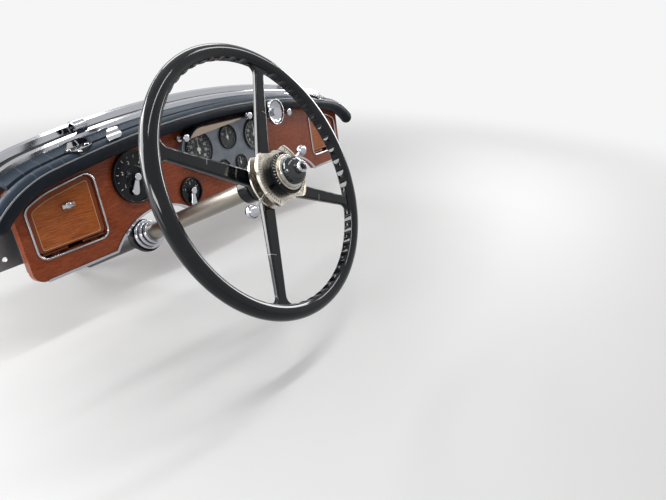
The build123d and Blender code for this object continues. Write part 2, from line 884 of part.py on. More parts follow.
collar_foot = -hub_reach - collar_step / 2
collar_bore = jacket_r + fit_gap
collar_core_r = collar_radii[-1] - 2 * collar_groove
with BuildPart() as column_collar:
    with BuildSketch(section) as collar_section:
        for step, r in enumerate(collar_radii[1:], start=1):
            low = collar_foot + step * collar_step
            ring_profile(collar_bore, r, low + collar_groove / 2, low + collar_step - collar_groove / 2)
        fillet(collar_section.vertices().filter_by(lambda v: v.X > collar_core_r), collar_groove)
        ring_profile(collar_bore, collar_core_r, collar_foot + collar_step, low + collar_step)
    revolve(axis=turning_axis)
column_collar.part.label = "column_collar"
export_step(column_collar.part, "parts/column_collar.step")

with BuildPart() as collar_ring:
    with BuildSketch(section) as ring_section:
        ring_profile(collar_bore, collar_radii[0], collar_foot, collar_foot + collar_step)
        fillet(ring_section.vertices().group_by(Axis.X)[-1], collar_groove)
    revolve(axis=turning_axis)
collar_ring.part.label = "collar_ring"
export_step(collar_ring.part, "parts/collar_ring.step")

with BuildPart() as column_clamp:
    with BuildSketch(Plane.YZ.offset(column_x - clamp_wall / 2)):
        with BuildLine():
            seat_low = lean.from_local_coords(Vector(0, arch_top + trim_width, -panel_thickness))
            seat_high = seat_low + lean.y_dir * clamp_length
            heel = column.from_local_coords(Vector(0, 0, collar_foot - clamp_length))
            toe = column.from_local_coords(Vector(0, 0, collar_foot))
            knee = column.from_local_coords(Vector(0, collar_radii[0] + clamp_wall, collar_foot))
            Polyline(*[(p.Y, p.Z) for p in (seat_low, seat_high, heel, toe, knee)], close=True)
        make_face()
    extrude(amount=clamp_wall)
    with BuildSketch(lean.offset(-panel_thickness)):
        with Locations((column_x, arch_top + trim_width + clamp_length / 2)):
            Rectangle(4 * clamp_wall, clamp_length)
    extrude(amount=-clamp_wall)
    with BuildSketch(section):
        ring_profile(0, collar_bore + clamp_wall, collar_foot - clamp_length, collar_foot)
    revolve(axis=turning_axis)
    with BuildSketch(section):
        ring_profile(0, collar_bore, collar_foot - 2 * clamp_length, collar_foot + clamp_length)
    revolve(axis=turning_axis, mode=Mode.SUBTRACT)
column_clamp.part.label = "column_clamp"
export_step(column_clamp.part, "parts/column_clamp.step")

# Steering shaft, a tube that turns with the wheel
with BuildPart() as steering_shaft:
    with BuildSketch(section):
        ring_profile(control_r + fit_gap, shaft_r, shaft_foot, shaft_top)
    revolve(axis=turning_axis)
steering_shaft.part.label = "steering_shaft"
export_step(steering_shaft.part, "parts/steering_shaft.step")

# Wheel rim, with finger hollows on its inner side between the spokes
spoke_gap = 360 / spoke_count
grip_turn = spoke_gap / grips_per_gap
grip_cut_r = (grip_width**2 / 4 + grip_depth**2) / (2 * grip_depth)
grip_cut_x = rim_r - grip_r + grip_depth - grip_cut_r
with BuildPart() as wheel_rim:
    with BuildSketch(section):
        with Locations((rim_r, 0)):
            Circle(grip_r)
    revolve(axis=turning_axis)
    with BuildSketch(column.offset(-grip_r)):
        for index in range(spoke_count):
            first = spoke_turn + index * spoke_gap + 1.5 * grip_turn
            span = (grips_per_gap - 3) * grip_turn
            with PolarLocations(grip_cut_x, grips_per_gap - 2, first, span, endpoint=True):
                Circle(grip_cut_r)
    extrude(amount=2 * grip_r, mode=Mode.SUBTRACT)
wheel_rim.part.label = "wheel_rim"
export_step(wheel_rim.part, "parts/wheel_rim.step")

# Wheel spider: webbed spokes that flare into the rim, on a tapered hub
with BuildSketch() as spoke_reach:
    Circle(2 * spoke_web_r)
    with PolarLocations(rim_r / 2, spoke_count, spoke_turn):
        Rectangle(rim_r, spoke_rim_width + 2 * spoke_flare_r)

with BuildSketch() as rim_band:
    Circle(rim_r)
    Circle(rim_r - grip_r, mode=Mode.SUBTRACT)

with BuildSketch() as spider_plan:
    with PolarLocations(0, spoke_count, spoke_turn):
        Polygon(
            (0, -spoke_hub_width / 2),
            (rim_r, -spoke_rim_width / 2),
            (rim_r, spoke_rim_width / 2),
            (0, spoke_hub_width / 2),
            align=None,
        )
    fillet(spider_plan.vertices().filter_by(lambda v: hypot(v.X, v.Y) < spoke_hub_width), spoke_web_r)
    add(rim_band.sketch_local)
    fillet(
        spider_plan.vertices().filter_by(lambda v: rim_r / 2 < hypot(v.X, v.Y) < rim_r - grip_r / 2),
        spoke_flare_r,
    )
    add(spoke_reach.sketch_local, mode=Mode.INTERSECT)

with BuildPart() as wheel_spider:
    with BuildSketch(column.offset(hub_foot)):
        add(spider_plan.sketch_local)
    extrude(amount=grip_r - hub_foot)
    with BuildSketch(section):
        Polygon(
            (0, spoke_hub_z - spoke_hub_depth / 2),
            (rim_r, -spoke_rim_depth / 2),
            (rim_r, spoke_rim_depth / 2),
            (0, spoke_hub_z + spoke_hub_depth / 2),
            align=None,
        )
    revolve(axis=turning_axis, mode=Mode.INTERSECT)
    fillet(wheel_spider.faces().filter_by(GeomType.CONE).edges().filter_by(inside_rim), spoke_edge_r)
    with BuildSketch(section):
        with BuildLine():
            Polyline(
                (0, hub_foot),
                (hub_neck_r, hub_foot),
                (hub_r, spoke_hub_z - spoke_hub_depth / 2),
                (hub_r, hub_top),
                (0, hub_top),
                close=True,
            )
        make_face()
    revolve(axis=turning_axis)
    with BuildSketch(section):
        ring_profile(0, shaft_r + fit_gap, 2 * hub_foot, -hub_foot)
        with Locations((rim_r, 0)):
            Circle(grip_r + fit_gap)
    revolve(axis=turning_axis, mode=Mode.SUBTRACT)
wheel_spider.part.label = "wheel_spider"
export_step(wheel_spider.part, "parts/wheel_spider.step")

# Controls on the still tube: two quadrant plates, hand levers, ring and horn button
collet_r = 2 * control_r
with BuildPart() as control_tube:
    with BuildSketch(section):
        ring_profile(0, control_r, control_foot, quadrant_low)
        ring_profile(0, collet_r, quadrant_low, quadrant_high + quadrant_sheet)
    revolve(axis=turning_axis)
control_tube.part.label = "control_tube"
export_step(control_tube.part, "parts/control_tube.step")


def quadrant_outline(r):
    """Return a disc's outline with a shallow bite at its top and its foot."""
    with BuildSketch() as outline:
        Circle(r)
        with Locations((0, -bite_level - bite_r), (0, bite_level + bite_r)):
            Circle(bite_r, mode=Mode.SUBTRACT)
        fillet(outline.vertices(), quadrant_corner_r)
        Circle(collet_r + fit_gap, mode=Mode.SUBTRACT)
    return outline.sketch_local


low_outline = quadrant_outline(quadrant_r - low_quadrant_inset)
with BuildPart() as low_quadrant:
    with BuildSketch(column.offset(quadrant_low)):
        add(low_outline)
    extrude(amount=quadrant_sheet)
low_quadrant.part.label = "low_quadrant"
export_step(low_quadrant.part, "parts/low_quadrant.step")

# The high plate has a raised band round each lobe, and a lip at its edge
high_outline = quadrant_outline(quadrant_r)
with BuildPart() as high_quadrant:
    with BuildSketch(column.offset(quadrant_high)):
        add(high_outline)
    extrude(amount=quadrant_sheet)
    for width, height in ((quadrant_band, quadrant_step), (quadrant_lip, quadrant_lip)):
        with BuildSketch(column.offset(quadrant_high + quadrant_sheet)):
            add(high_outline)
            Circle(quadrant_r - width, mode=Mode.SUBTRACT)
        extrude(amount=height)
high_quadrant.part.label = "high_quadrant"
export_step(high_quadrant.part, "parts/high_quadrant.step")

# Hand levers: name, turn, ball radius
for name, turn, ball in (("upper_hand_lever", 17.0, 9.5), ("lower_hand_lever", 201.0, 11.5)):
    way = column_way(cos(radians(turn)), sin(radians(turn)), 0)
    level = wheel_centre + column_axis * lever_level
    with BuildPart() as hand_lever:
        with BuildSketch(Plane(origin=level + way * (collet_r + fit_gap), z_dir=way)):
            Circle(lever_rod_r)
        extrude(amount=hand_lever_reach - collet_r)
        with Locations(level + way * hand_lever_reach):
            Sphere(ball)
    hand_lever.part.label = name
    export_step(hand_lever.part, f"parts/{name}.step")

ring_foot = quadrant_high + quadrant_sheet
with BuildPart() as control_ring:
    with BuildSketch(section) as ring_section:
        ring_profile(0, ring_r, ring_foot, ring_top)
        fillet(ring_section.vertices().group_by(Axis.Y)[-1].group_by(Axis.X)[-1], ring_round)
    revolve(axis=turning_axis)
    with BuildSketch(column.offset(ring_foot)):
        with PolarLocations(ring_r, 1, pointer_turn):
            Rectangle(2 * pointer_reach, pointer_width)
    extrude(amount=pointer_width / 2)
control_ring.part.label = "control_ring"
export_step(control_ring.part, "parts/control_ring.step")

# Stepped rings under the horn dome
horn_foot = ring_top + 2 * horn_step_height
with BuildPart() as horn_steps:
    with BuildSketch(section) as steps_section:
        for step in (2, 1):
            low = horn_foot - step * horn_step_height
            ring_profile(0, dome_r + step * horn_step_width, low, low + horn_step_height)
        brows = steps_section.vertices().filter_by(lambda v: v.X > dome_r).group_by(Axis.X)
        fillet(brows[-1].group_by(Axis.Y)[-1] + brows[0].group_by(Axis.Y)[-1], horn_step_height / 4)
    revolve(axis=turning_axis)
horn_steps.part.label = "horn_steps"
export_step(horn_steps.part, "parts/horn_steps.step")

with BuildPart() as horn_dome:
    with BuildSketch(section) as dome_section:
        ring_profile(0, dome_r, horn_foot, dome_top)
        fillet(dome_section.vertices().group_by(Axis.Y)[-1].group_by(Axis.X)[-1], dome_round)
    revolve(axis=turning_axis)
horn_dome.part.label = "horn_dome"
export_step(horn_dome.part, "parts/horn_dome.step")

with BuildPart() as horn_knob:
    with BuildSketch(section) as knob_section:
        ring_profile(0, dome_knob_r, dome_top, dome_top + dome_knob_height)
        fillet(knob_section.vertices().group_by(Axis.Y)[-1].group_by(Axis.X)[-1], dome_knob_wall / 2)
    revolve(axis=turning_axis)
    with BuildSketch(column.offset(dome_top + dome_knob_height)):
        Circle(dome_knob_r - dome_knob_wall)
    extrude(amount=-dome_knob_wall, mode=Mode.SUBTRACT)
horn_knob.part.label = "horn_knob"
export_step(horn_knob.part, "parts/horn_knob.step")
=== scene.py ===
"""Looks of a vintage car's dashboard with its steering column and wheel.

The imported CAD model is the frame. The classes below dress its nodes with
procedural finishes and add the soft and small pieces that the solids leave out.
"""
from __future__ import annotations

import json
import logging
import math
from contextlib import contextmanager
from dataclasses import dataclass
from enum import Enum
from typing import Callable, Iterator, Optional, Sequence, Union

import bmesh
import bpy
from mathutils import Matrix, Vector, noise

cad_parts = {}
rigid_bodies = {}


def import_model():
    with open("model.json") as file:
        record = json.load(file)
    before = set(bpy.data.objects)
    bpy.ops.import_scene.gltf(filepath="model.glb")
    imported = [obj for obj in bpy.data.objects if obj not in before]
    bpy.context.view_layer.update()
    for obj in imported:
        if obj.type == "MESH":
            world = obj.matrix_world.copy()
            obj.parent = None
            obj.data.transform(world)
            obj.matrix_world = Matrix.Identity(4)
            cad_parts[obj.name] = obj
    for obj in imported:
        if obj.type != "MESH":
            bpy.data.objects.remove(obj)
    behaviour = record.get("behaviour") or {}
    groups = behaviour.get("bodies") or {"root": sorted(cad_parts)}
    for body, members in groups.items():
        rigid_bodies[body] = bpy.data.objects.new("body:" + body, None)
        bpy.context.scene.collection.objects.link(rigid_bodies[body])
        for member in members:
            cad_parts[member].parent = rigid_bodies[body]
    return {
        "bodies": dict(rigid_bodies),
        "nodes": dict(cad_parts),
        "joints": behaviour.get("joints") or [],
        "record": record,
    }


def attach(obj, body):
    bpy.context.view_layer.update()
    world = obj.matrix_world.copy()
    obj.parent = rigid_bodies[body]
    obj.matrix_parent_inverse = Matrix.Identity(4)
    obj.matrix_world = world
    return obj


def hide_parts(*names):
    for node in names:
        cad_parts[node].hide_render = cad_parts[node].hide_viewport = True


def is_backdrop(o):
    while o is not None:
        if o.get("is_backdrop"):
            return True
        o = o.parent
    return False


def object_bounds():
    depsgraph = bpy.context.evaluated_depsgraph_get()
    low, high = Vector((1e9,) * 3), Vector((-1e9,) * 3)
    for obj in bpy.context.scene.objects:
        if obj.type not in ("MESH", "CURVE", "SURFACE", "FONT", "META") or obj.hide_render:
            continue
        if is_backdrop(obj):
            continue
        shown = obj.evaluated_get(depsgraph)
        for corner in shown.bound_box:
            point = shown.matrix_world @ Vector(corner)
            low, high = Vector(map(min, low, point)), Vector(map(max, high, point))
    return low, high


LOG = logging.getLogger("dashboard")
Piece = bpy.types.Object
Colour = tuple[float, float, float]
Triple = tuple[float, float, float]
Pair = tuple[float, float]
MM = 0.001  # in metres
PER_METRE = 1000.0  # millimetres
SMOOTH_BELOW = 35.0  # degrees between two faces
WELD = 2e-5  # metres between points that become one
MARK_ROUND = 0.05  # millimetres off the edges of a printed mark


def spin(degrees: float, axis: str = "Z") -> Matrix:
    """Return a turn about an axis."""
    return Matrix.Rotation(math.radians(degrees), 4, axis)


class Figure(Enum):
    """Which part of the woodwork a veneer covers."""

    SURROUND = "surround"
    DOOR = "door"
    BOARD = "board"


class Texture(Enum):
    """How a metal's surface is worked."""

    POLISHED = "polished"
    TURNED = "turned"
    BRUSHED = "brushed"


def math_method(operation: str, swapped: bool = False) -> Callable[..., "Value"]:
    """Return a method of Value that adds one Math node.

    Args:
        operation: The node's operation.
        swapped: True where the other value comes first.

    Returns:
        The method; a root, a sine and the like leave its second value at 0.
    """

    def method(self: "Value", other: "Operand" = 0.0) -> "Value":
        """Return the node's result for this value and the other one."""
        first, second = (other, self) if swapped else (self, other)
        return self.graph.node("ShaderNodeMath", {"operation": operation}, {0: first, 1: second})

    return method


class Value:
    """A shader socket that Python's arithmetic works on; a comparison gives 0 or 1."""

    __add__ = math_method("ADD")
    __radd__ = math_method("ADD", swapped=True)
    __sub__ = math_method("SUBTRACT")
    __rsub__ = math_method("SUBTRACT", swapped=True)
    __mul__ = math_method("MULTIPLY")
    __lt__ = math_method("LESS_THAN")
    __gt__ = math_method("GREATER_THAN")
    __abs__ = math_method("ABSOLUTE")
    least = math_method("MINIMUM")
    most = math_method("MAXIMUM")
    root = math_method("SQRT")
    sine = math_method("SINE")

    def __init__(self, graph: "Graph", socket: bpy.types.NodeSocket) -> None:
        """Keep the socket and the graph that it belongs to."""
        self.graph = graph
        self.socket = socket

    def ramp(self, low: float, high: float) -> "Value":
        """Return 0 below the low value, 1 above the high one, and a smooth rise between."""
        settings = {"interpolation_type": "SMOOTHSTEP"}
        inputs = {"Value": self, "From Min": low, "From Max": high}
        return self.graph.node("ShaderNodeMapRange", settings, inputs)


Operand = Union[Value, float]


class Graph:
    """A material's node tree, ended by one Principled shader."""

    shader_kind = "ShaderNodeBsdfPrincipled"
    output_kind = "ShaderNodeOutputMaterial"

    def __init__(self, name: str) -> None:
        """Start an empty tree with its shader and output.

        Args:
            name: The name of the material or world that owns it.
        """
        self.owner = self._start(name)
        self.owner.use_nodes = True
        self.tree = self.owner.node_tree
        self.tree.nodes.clear()
        self.shader = self.tree.nodes.new(self.shader_kind)
        self.output = self.tree.nodes.new(self.output_kind)
        self.tree.links.new(self.shader.outputs[0], self.output.inputs["Surface"])

    @staticmethod
    def _start(name: str) -> bpy.types.ID:
        """Return a new material."""
        return bpy.data.materials.new(name)

    def node(
        self,
        kind: str,
        settings: dict[str, object],
        inputs: dict[Union[str, int], object],
        output: Union[str, int] = 0,
    ) -> Value:
        """Add a node.

        Args:
            kind: The node's type.
            settings: Its properties; "stops" holds a colour ramp's places and colours.
            inputs: Values or links, by the input's name or number.
            output: Which output to return.

        Returns:
            The chosen output.
        """
        made = self.tree.nodes.new(kind)
        for key, setting in settings.items():
            if key == "stops":
                self._set_stops(made, setting)
            else:
                setattr(made, key, setting)
        for key, value in inputs.items():
            socket = self._socket(made.inputs, key)
            if isinstance(value, Value):
                self.tree.links.new(value.socket, socket)
            else:
                socket.default_value = value
        return Value(self, self._socket(made.outputs, output))

    @staticmethod
    def _set_stops(made: bpy.types.Node, stops: Sequence[tuple[float, Colour]]) -> None:
        """Give a colour ramp its stops."""
        elements = made.color_ramp.elements
        while len(elements) < len(stops):
            elements.new(0.5)
        for element, (place, colour) in zip(elements, stops):
            element.position = place
            element.color = (*colour, 1.0)

    @staticmethod
    def _socket(sockets: bpy.types.NodeInputs, key: Union[str, int]) -> bpy.types.NodeSocket:
        """Find a socket by its number, identifier or name."""
        if isinstance(key, int):
            return sockets[key]
        return next(s for s in sockets if key in (s.identifier, s.name) and s.enabled)

    def place(self) -> Value:
        """Return Object coordinates, in metres."""
        return self.node("ShaderNodeTexCoord", {}, {}, "Object")

    def parts(self, vector: Value) -> tuple[Value, Value, Value]:
        """Split a vector into its three parts."""
        split = self.node("ShaderNodeSeparateXYZ", {}, {0: vector})
        outputs = split.socket.node.outputs
        return Value(self, outputs[0]), Value(self, outputs[1]), Value(self, outputs[2])

    def join(self, x: Operand, y: Operand, z: Operand) -> Value:
        """Join three parts into a vector."""
        return self.node("ShaderNodeCombineXYZ", {}, {0: x, 1: y, 2: z})

    def stretch(self, vector: Value, scale: Triple) -> Value:
        """Multiply a vector's three parts."""
        return self.node("ShaderNodeVectorMath", {"operation": "MULTIPLY"}, {0: vector, 1: scale})

    def noise(self, vector: Value, scale: float, detail: float = 3.0, distortion: float = 0.0) -> Value:
        """Return a noise value around 0.5."""
        inputs = {"Vector": vector, "Scale": scale, "Detail": detail, "Distortion": distortion}
        return self.node("ShaderNodeTexNoise", {}, inputs)

    def cells(self, vector: Value, scale: float) -> Value:
        """Return the distance to the nearest cell centre."""
        return self.node("ShaderNodeTexVoronoi", {}, {"Vector": vector, "Scale": scale})

    def shades(self, factor: Value, stops: Sequence[tuple[float, Colour]]) -> Value:
        """Return a colour ramp over a factor."""
        return self.node("ShaderNodeValToRGB", {"stops": stops}, {0: factor})

    def mix(self, factor: Operand, low: object, high: object) -> Value:
        """Mix two colours by a factor."""
        low = low if isinstance(low, Value) else (*low, 1.0)
        high = high if isinstance(high, Value) else (*high, 1.0)
        inputs = {"Factor_Float": factor, "A_Color": low, "B_Color": high}
        return self.node("ShaderNodeMix", {"data_type": "RGBA"}, inputs, "Result_Color")

    def bump(self, height: Value, depth: float, strength: float = 1.0) -> Value:
        """Return a normal bent by a height, whose full range is a depth in metres."""
        inputs = {"Height": height, "Distance": depth, "Strength": strength}
        return self.node("ShaderNodeBump", {}, inputs, "Normal")

    def reveal(self, kind: str, colour: Colour, share: Operand = 1.0) -> None:
        """Show a plain colour in place of the shader, to the camera and in shiny or clear surfaces.

        Args:
            kind: The type of the node that shows the colour.
            colour: The colour.
            share: How much of it shows, from 0 to 1.
        """
        seen = self.node("ShaderNodeLightPath", {}, {}, "Is Camera Ray")
        rays = seen.socket.node.outputs
        for ray in ("Is Glossy Ray", "Is Transmission Ray"):
            seen = seen.most(Value(self, rays[ray]))
        shown = self.node(kind, {}, {"Color": (*colour, 1.0)})
        usual = Value(self, self.shader.outputs[0])
        both = self.node("ShaderNodeMixShader", {}, {0: seen * share, 1: usual, 2: shown})
        self.tree.links.new(both.socket, self.output.inputs["Surface"])

    def set(self, **sockets: object) -> None:
        """Set or link the shader's sockets, named with underscores for spaces."""
        for key, value in sockets.items():
            socket = self.shader.inputs[key.replace("_", " ")]
            if isinstance(value, Value):
                self.tree.links.new(value.socket, socket)
            elif isinstance(value, tuple) and len(value) == 3:
                socket.default_value = (*value, 1.0)
            else:
                socket.default_value = value


class WorldGraph(Graph):
    """The world's node tree, ended by one Background shader."""

    shader_kind = "ShaderNodeBackground"
    output_kind = "ShaderNodeOutputWorld"

    @staticmethod
    def _start(name: str) -> bpy.types.ID:
        """Return a new world."""
        return bpy.data.worlds.new(name)


@dataclass(frozen=True)
class PanelPlane:
    """The wood panel's face, in millimetres: x across, s up the face, z out to the driver."""

    lean: float = 10.0
    foot_y: float = -60.0
    foot_z: float = -98.5
    crown_rise: float = 212.0
    crown_r: float = 2400.0
    end_r: float = 200.0
    join_x: float = 470.0

    @property
    def join_turn(self) -> float:
        """Return the turn, in radians, at which the crown's two arcs meet."""
        return math.asin(self.join_x / self.crown_r)

    @property
    def end_centre(self) -> Pair:
        """Return the centre of the tighter arc."""
        reach = self.crown_r - self.end_r
        turn = self.join_turn
        return reach * math.sin(turn), self.crown_rise - self.crown_r + reach * math.cos(turn)

    def point(self, x: float, s: float, z: float) -> Vector:
        """Return a point of the panel's frame in the world, in metres."""
        sin, cos = math.sin(math.radians(self.lean)), math.cos(math.radians(self.lean))
        y = self.foot_y + s * sin - z * cos
        return Vector((x, y, self.foot_z + s * cos + z * sin)) * MM

    def matrix(self, x: float, s: float, z: float, turn: float = 0.0) -> Matrix:
        """Return the placement of a piece made in millimetres.

        Args:
            x: Place across.
            s: Place up the face.
            z: Place out of the face.
            turn: Turn about the outward axis, in degrees.

        Returns:
            The matrix from the piece's own axes to the world.
        """
        face = spin(90.0 - self.lean, "X")
        return Matrix.Translation(self.point(x, s, z)) @ face @ spin(turn) @ Matrix.Scale(MM, 4)

    def crown(self, turn: float, out: float) -> Pair:
        """Return the crown's point at a turn in degrees from upright, moved out by a distance."""
        side = 1.0 if turn >= 0.0 else -1.0
        angle = math.radians(abs(turn))
        if angle <= self.join_turn:
            reach = self.crown_r + out
            return side * reach * math.sin(angle), self.crown_rise - self.crown_r + reach * math.cos(angle)
        centre_x, centre_s = self.end_centre
        reach = self.end_r + out
        return side * (centre_x + reach * math.sin(angle)), centre_s + reach * math.cos(angle)

    def coordinates(self, graph: Graph) -> tuple[Value, Value, Value]:
        """Return x, s and z in millimetres inside a material."""
        x, y, z = graph.parts(graph.place())
        sin, cos = math.sin(math.radians(self.lean)), math.cos(math.radians(self.lean))
        y = y * PER_METRE - self.foot_y
        z = z * PER_METRE - self.foot_z
        return x * PER_METRE, y * sin + z * cos, z * sin - y * cos

    def below_crown(self, x: Value, s: Value) -> Value:
        """Return how far a point lies under the crown, in a material."""
        side = abs(x)
        centre_x, centre_s = self.end_centre
        wide_s = s - (self.crown_rise - self.crown_r)
        wide = self.crown_r - (side * side + wide_s * wide_s).root()
        end_x = side - centre_x
        end_s = s - centre_s
        end = self.end_r - (end_x * end_x + end_s * end_s).root()
        past = side > self.join_x
        return wide + (end - wide) * past


@dataclass(frozen=True)
class ColumnLine:
    """The steering column's axis: its hub's centre, and z along it to the driver."""

    rake: float = 28.0
    hub: Triple = (-300.0, -398.989, 90.8991)

    def matrix(self, level: float = 0.0, turn: float = 0.0) -> Matrix:
        """Return the placement of a piece made in millimetres about the axis."""
        face = spin(90.0 - self.rake, "X")
        lift = Matrix.Translation((0.0, 0.0, level))
        return Matrix.Translation(Vector(self.hub) * MM) @ face @ Matrix.Scale(MM, 4) @ lift @ spin(turn)

    def coordinates(self, graph: Graph) -> tuple[Value, Value, Value]:
        """Return the turn in radians, the radius and the level, in millimetres."""
        x, y, z = graph.parts(graph.place())
        sin, cos = math.sin(math.radians(self.rake)), math.cos(math.radians(self.rake))
        x = x * PER_METRE - self.hub[0]
        y = y * PER_METRE - self.hub[1]
        z = z * PER_METRE - self.hub[2]
        up = y * sin + z * cos
        turn = graph.node("ShaderNodeMath", {"operation": "ARCTAN2"}, {0: up, 1: x})
        return turn, (x * x + up * up).root(), z * sin - y * cos


@dataclass(frozen=True)
class RollLine:
    """The padded roll's section over the crown, in millimetres, and its sewn seam."""

    radius: float = 18.4
    centre_out: float = 19.0
    centre_z: float = 19.3
    seam_turn: float = 60.0


PANEL = PanelPlane()
COLUMN = ColumnLine()
ROLL = RollLine()


@dataclass(frozen=True)
class Veneer:
    """Lacquered veneer with a horizontal figure; a door has a pale inlaid line."""

    name: str
    figure: Figure
    dark: Colour
    middle: Colour
    light: Colour
    run: float = 0.030
    pitch: float = 0.40
    door_sides: Pair = (384.0, 526.0)
    door_foot: float = 42.5
    door_drop: float = 12.0
    line_inset: float = 10.5
    line_width: float = 1.3
    line_colour: Colour = (0.48, 0.30, 0.15)
    mitre_round: float = 9.0
    bend: float = 7.0
    border: Colour = (0.21, 0.050, 0.019)

    def build(self) -> bpy.types.Material:
        """Return the material."""
        graph = Graph(f"veneer_{self.figure.value}")
        x, s, z = PANEL.coordinates(graph)
        wave = graph.noise(graph.join(x * 0.013, s * 0.016, z * 0.01), 1.0, 2.0)
        cloud = graph.noise(graph.join(x * 0.012, s * 0.030 + wave, z * 0.05), 1.0, 3.0, 0.5)
        bent = wave * self.bend
        figure = graph.noise(graph.join(x * self.run, s * self.pitch + bent, z * 0.3), 1.0, 3.0, 0.35)
        grain = graph.noise(graph.join(x * 0.16, s * 1.1 + bent, z * 1.1), 1.0, 2.0)
        pores = graph.noise(graph.join(x * 0.35, s * 3.0, z * 3.0), 1.0, 2.0)
        tone = figure * 0.50 + cloud * 0.22 + grain * 0.28
        colour = graph.shades(tone, ((0.38, self.dark), (0.50, self.middle), (0.62, self.light)))
        colour = graph.mix(pores.ramp(0.60, 0.72) * 0.30, colour, self.dark)
        if self.figure is Figure.DOOR:
            colour = self._inlay(graph, colour, x, s)
        height = figure * 0.35 + pores * 0.15
        graph.set(
            Base_Color=colour,
            Roughness=0.24 + grain * 0.10,
            Normal=graph.bump(height, 0.00025, 0.35),
            Coat_Weight=0.12,
            Coat_Roughness=0.05,
            Specular_IOR_Level=0.16,
        )
        return graph.owner

    def _inlay(self, graph: Graph, colour: Value, x: Value, s: Value) -> Value:
        """Lay the border and the pale line over the veneer's colour."""
        side = abs(x)
        inner = side - (self.door_sides[0] + self.line_inset)
        outer = (self.door_sides[1] - self.line_inset) - side
        foot = s - (self.door_foot + self.line_inset)
        crown = PANEL.below_crown(x, s) - (self.door_drop + self.line_inset)
        across = self._soft_least(graph, inner, outer)
        upright = self._soft_least(graph, foot, crown)
        depth = self._soft_least(graph, across, upright)
        colour = graph.mix(depth.ramp(-0.4, 0.4), self._border(graph, x, s), colour)
        line = (depth > 0.0) * (depth < self.line_width)
        return graph.mix(line, colour, self.line_colour)

    def _border(self, graph: Graph, x: Value, s: Value) -> Value:
        """Return the cross-banded border's colour."""
        streak = graph.noise(graph.join(x * 0.35, s * 0.05, 0.0), 1.0, 3.0)
        return graph.shades(streak, ((0.35, self.dark), (0.65, self.border)))

    def _soft_least(self, graph: Graph, first: Value, second: Value) -> Value:
        """Return the smaller of two values, rounded where they cross."""
        inputs = {0: first, 1: second, 2: self.mitre_round}
        return graph.node("ShaderNodeMath", {"operation": "SMOOTH_MIN"}, inputs)


@dataclass(frozen=True)
class Plating:
    """Bright or satin metal with handling marks; below a set level on the column, a near-black painted
    shade.
    """

    name: str
    tint: Colour
    roughness: float
    texture: Texture = Texture.POLISHED
    worn: Colour = (0.26, 0.24, 0.21)
    soiling: float = 0.18
    patina: float = 0.0
    dull_radii: Pair = (44.0, 57.0)
    painted_below: Optional[float] = None
    paint: Colour = (0.006, 0.006, 0.008)

    def build(self) -> bpy.types.Material:
        """Return the material."""
        graph = Graph(self.name)
        place = graph.place()
        cloud = graph.noise(place, 60.0, 4.0)
        spots = graph.noise(place, 900.0, 2.0)
        if self.texture is Texture.TURNED:
            turn, radius, level = COLUMN.coordinates(graph)
            fine = graph.noise(graph.join(radius * 2.2, level * 2.2, turn * 0.4), 1.0, 2.0)
            depth = 0.00006
        elif self.texture is Texture.BRUSHED:
            fine = graph.noise(graph.stretch(place, (60.0, 1500.0, 1500.0)), 1.0, 2.0)
            depth = 0.00005
        else:
            fine = graph.noise(place, 300.0, 3.0)
            depth = 0.00002
        soil = cloud.ramp(0.55, 0.82) * self.soiling
        colour = graph.mix(soil, self.tint, self.worn)
        metal: Operand = 1.0
        if self.patina:
            turn, radius, level = COLUMN.coordinates(graph)
            streaks = graph.noise(graph.join(turn * 2.5, radius * 0.12, level * 0.05), 1.0, 3.0)
            middle = (1.0 - radius.ramp(*self.dull_radii)) * 0.6
            dull = ((streaks.ramp(0.35, 0.65) * 0.6 + middle) * self.patina).least(1.0)
            colour = graph.mix(dull, colour, tuple(part * 0.42 for part in self.tint))
        # Painted shade: below this level on the column the metal gives way to near black, standing in for
        # the shadow behind the panel.
        if self.painted_below is not None:
            level = COLUMN.coordinates(graph)[2]
            metal = level > self.painted_below
            colour = graph.mix(metal, self.paint, colour)
        graph.set(
            Base_Color=colour,
            Metallic=metal,
            Roughness=self.roughness + cloud * 0.06 + spots.ramp(0.62, 0.75) * 0.08,
            Normal=graph.bump(fine, depth, 0.5),
        )
        return graph.owner


@dataclass(frozen=True)
class Gloss:
    """Black enamel or hard composition with a clear top coat, with an optional pale painted highlight along
    a joint across the spokes.
    """

    name: str
    tint: Colour
    roughness: float = 0.11
    shine: float = 0.28
    rubbed: Colour = (0.014, 0.015, 0.018)
    joint_r: float = 0.0
    joint_turn: float = 0.0
    joint_half_width: float = 0.5
    joint_colour: Colour = (0.42, 0.43, 0.45)
    spokes: float = 4.0

    def build(self) -> bpy.types.Material:
        """Return the material."""
        graph = Graph(self.name)
        place = graph.place()
        cloud = graph.noise(place, 35.0, 4.0)
        peel = graph.noise(place, 420.0, 2.0)
        scuffs = graph.noise(graph.stretch(place, (900.0, 900.0, 120.0)), 1.0, 2.0).ramp(0.64, 0.74)
        colour = graph.mix(cloud.ramp(0.45, 0.8) * 0.5 + scuffs * 0.3, self.tint, self.rubbed)
        # Painted highlight: a pale line at one radius, on one side of each spoke, for the glint along the
        # spokes' joint.
        if self.joint_r:
            turn, radius, _ = COLUMN.coordinates(graph)
            side = (turn * self.spokes + math.radians(self.spokes * self.joint_turn)).sine() > 0.0
            joint_glint_line = (abs(radius - self.joint_r) < self.joint_half_width) * side
            colour = graph.mix(joint_glint_line * 0.8, colour, self.joint_colour)
        graph.set(
            Base_Color=colour,
            Roughness=self.roughness + cloud * 0.07 + scuffs * 0.15,
            Normal=graph.bump(peel, 0.00003, 0.3),
            Specular_IOR_Level=self.shine,
        )
        return graph.owner


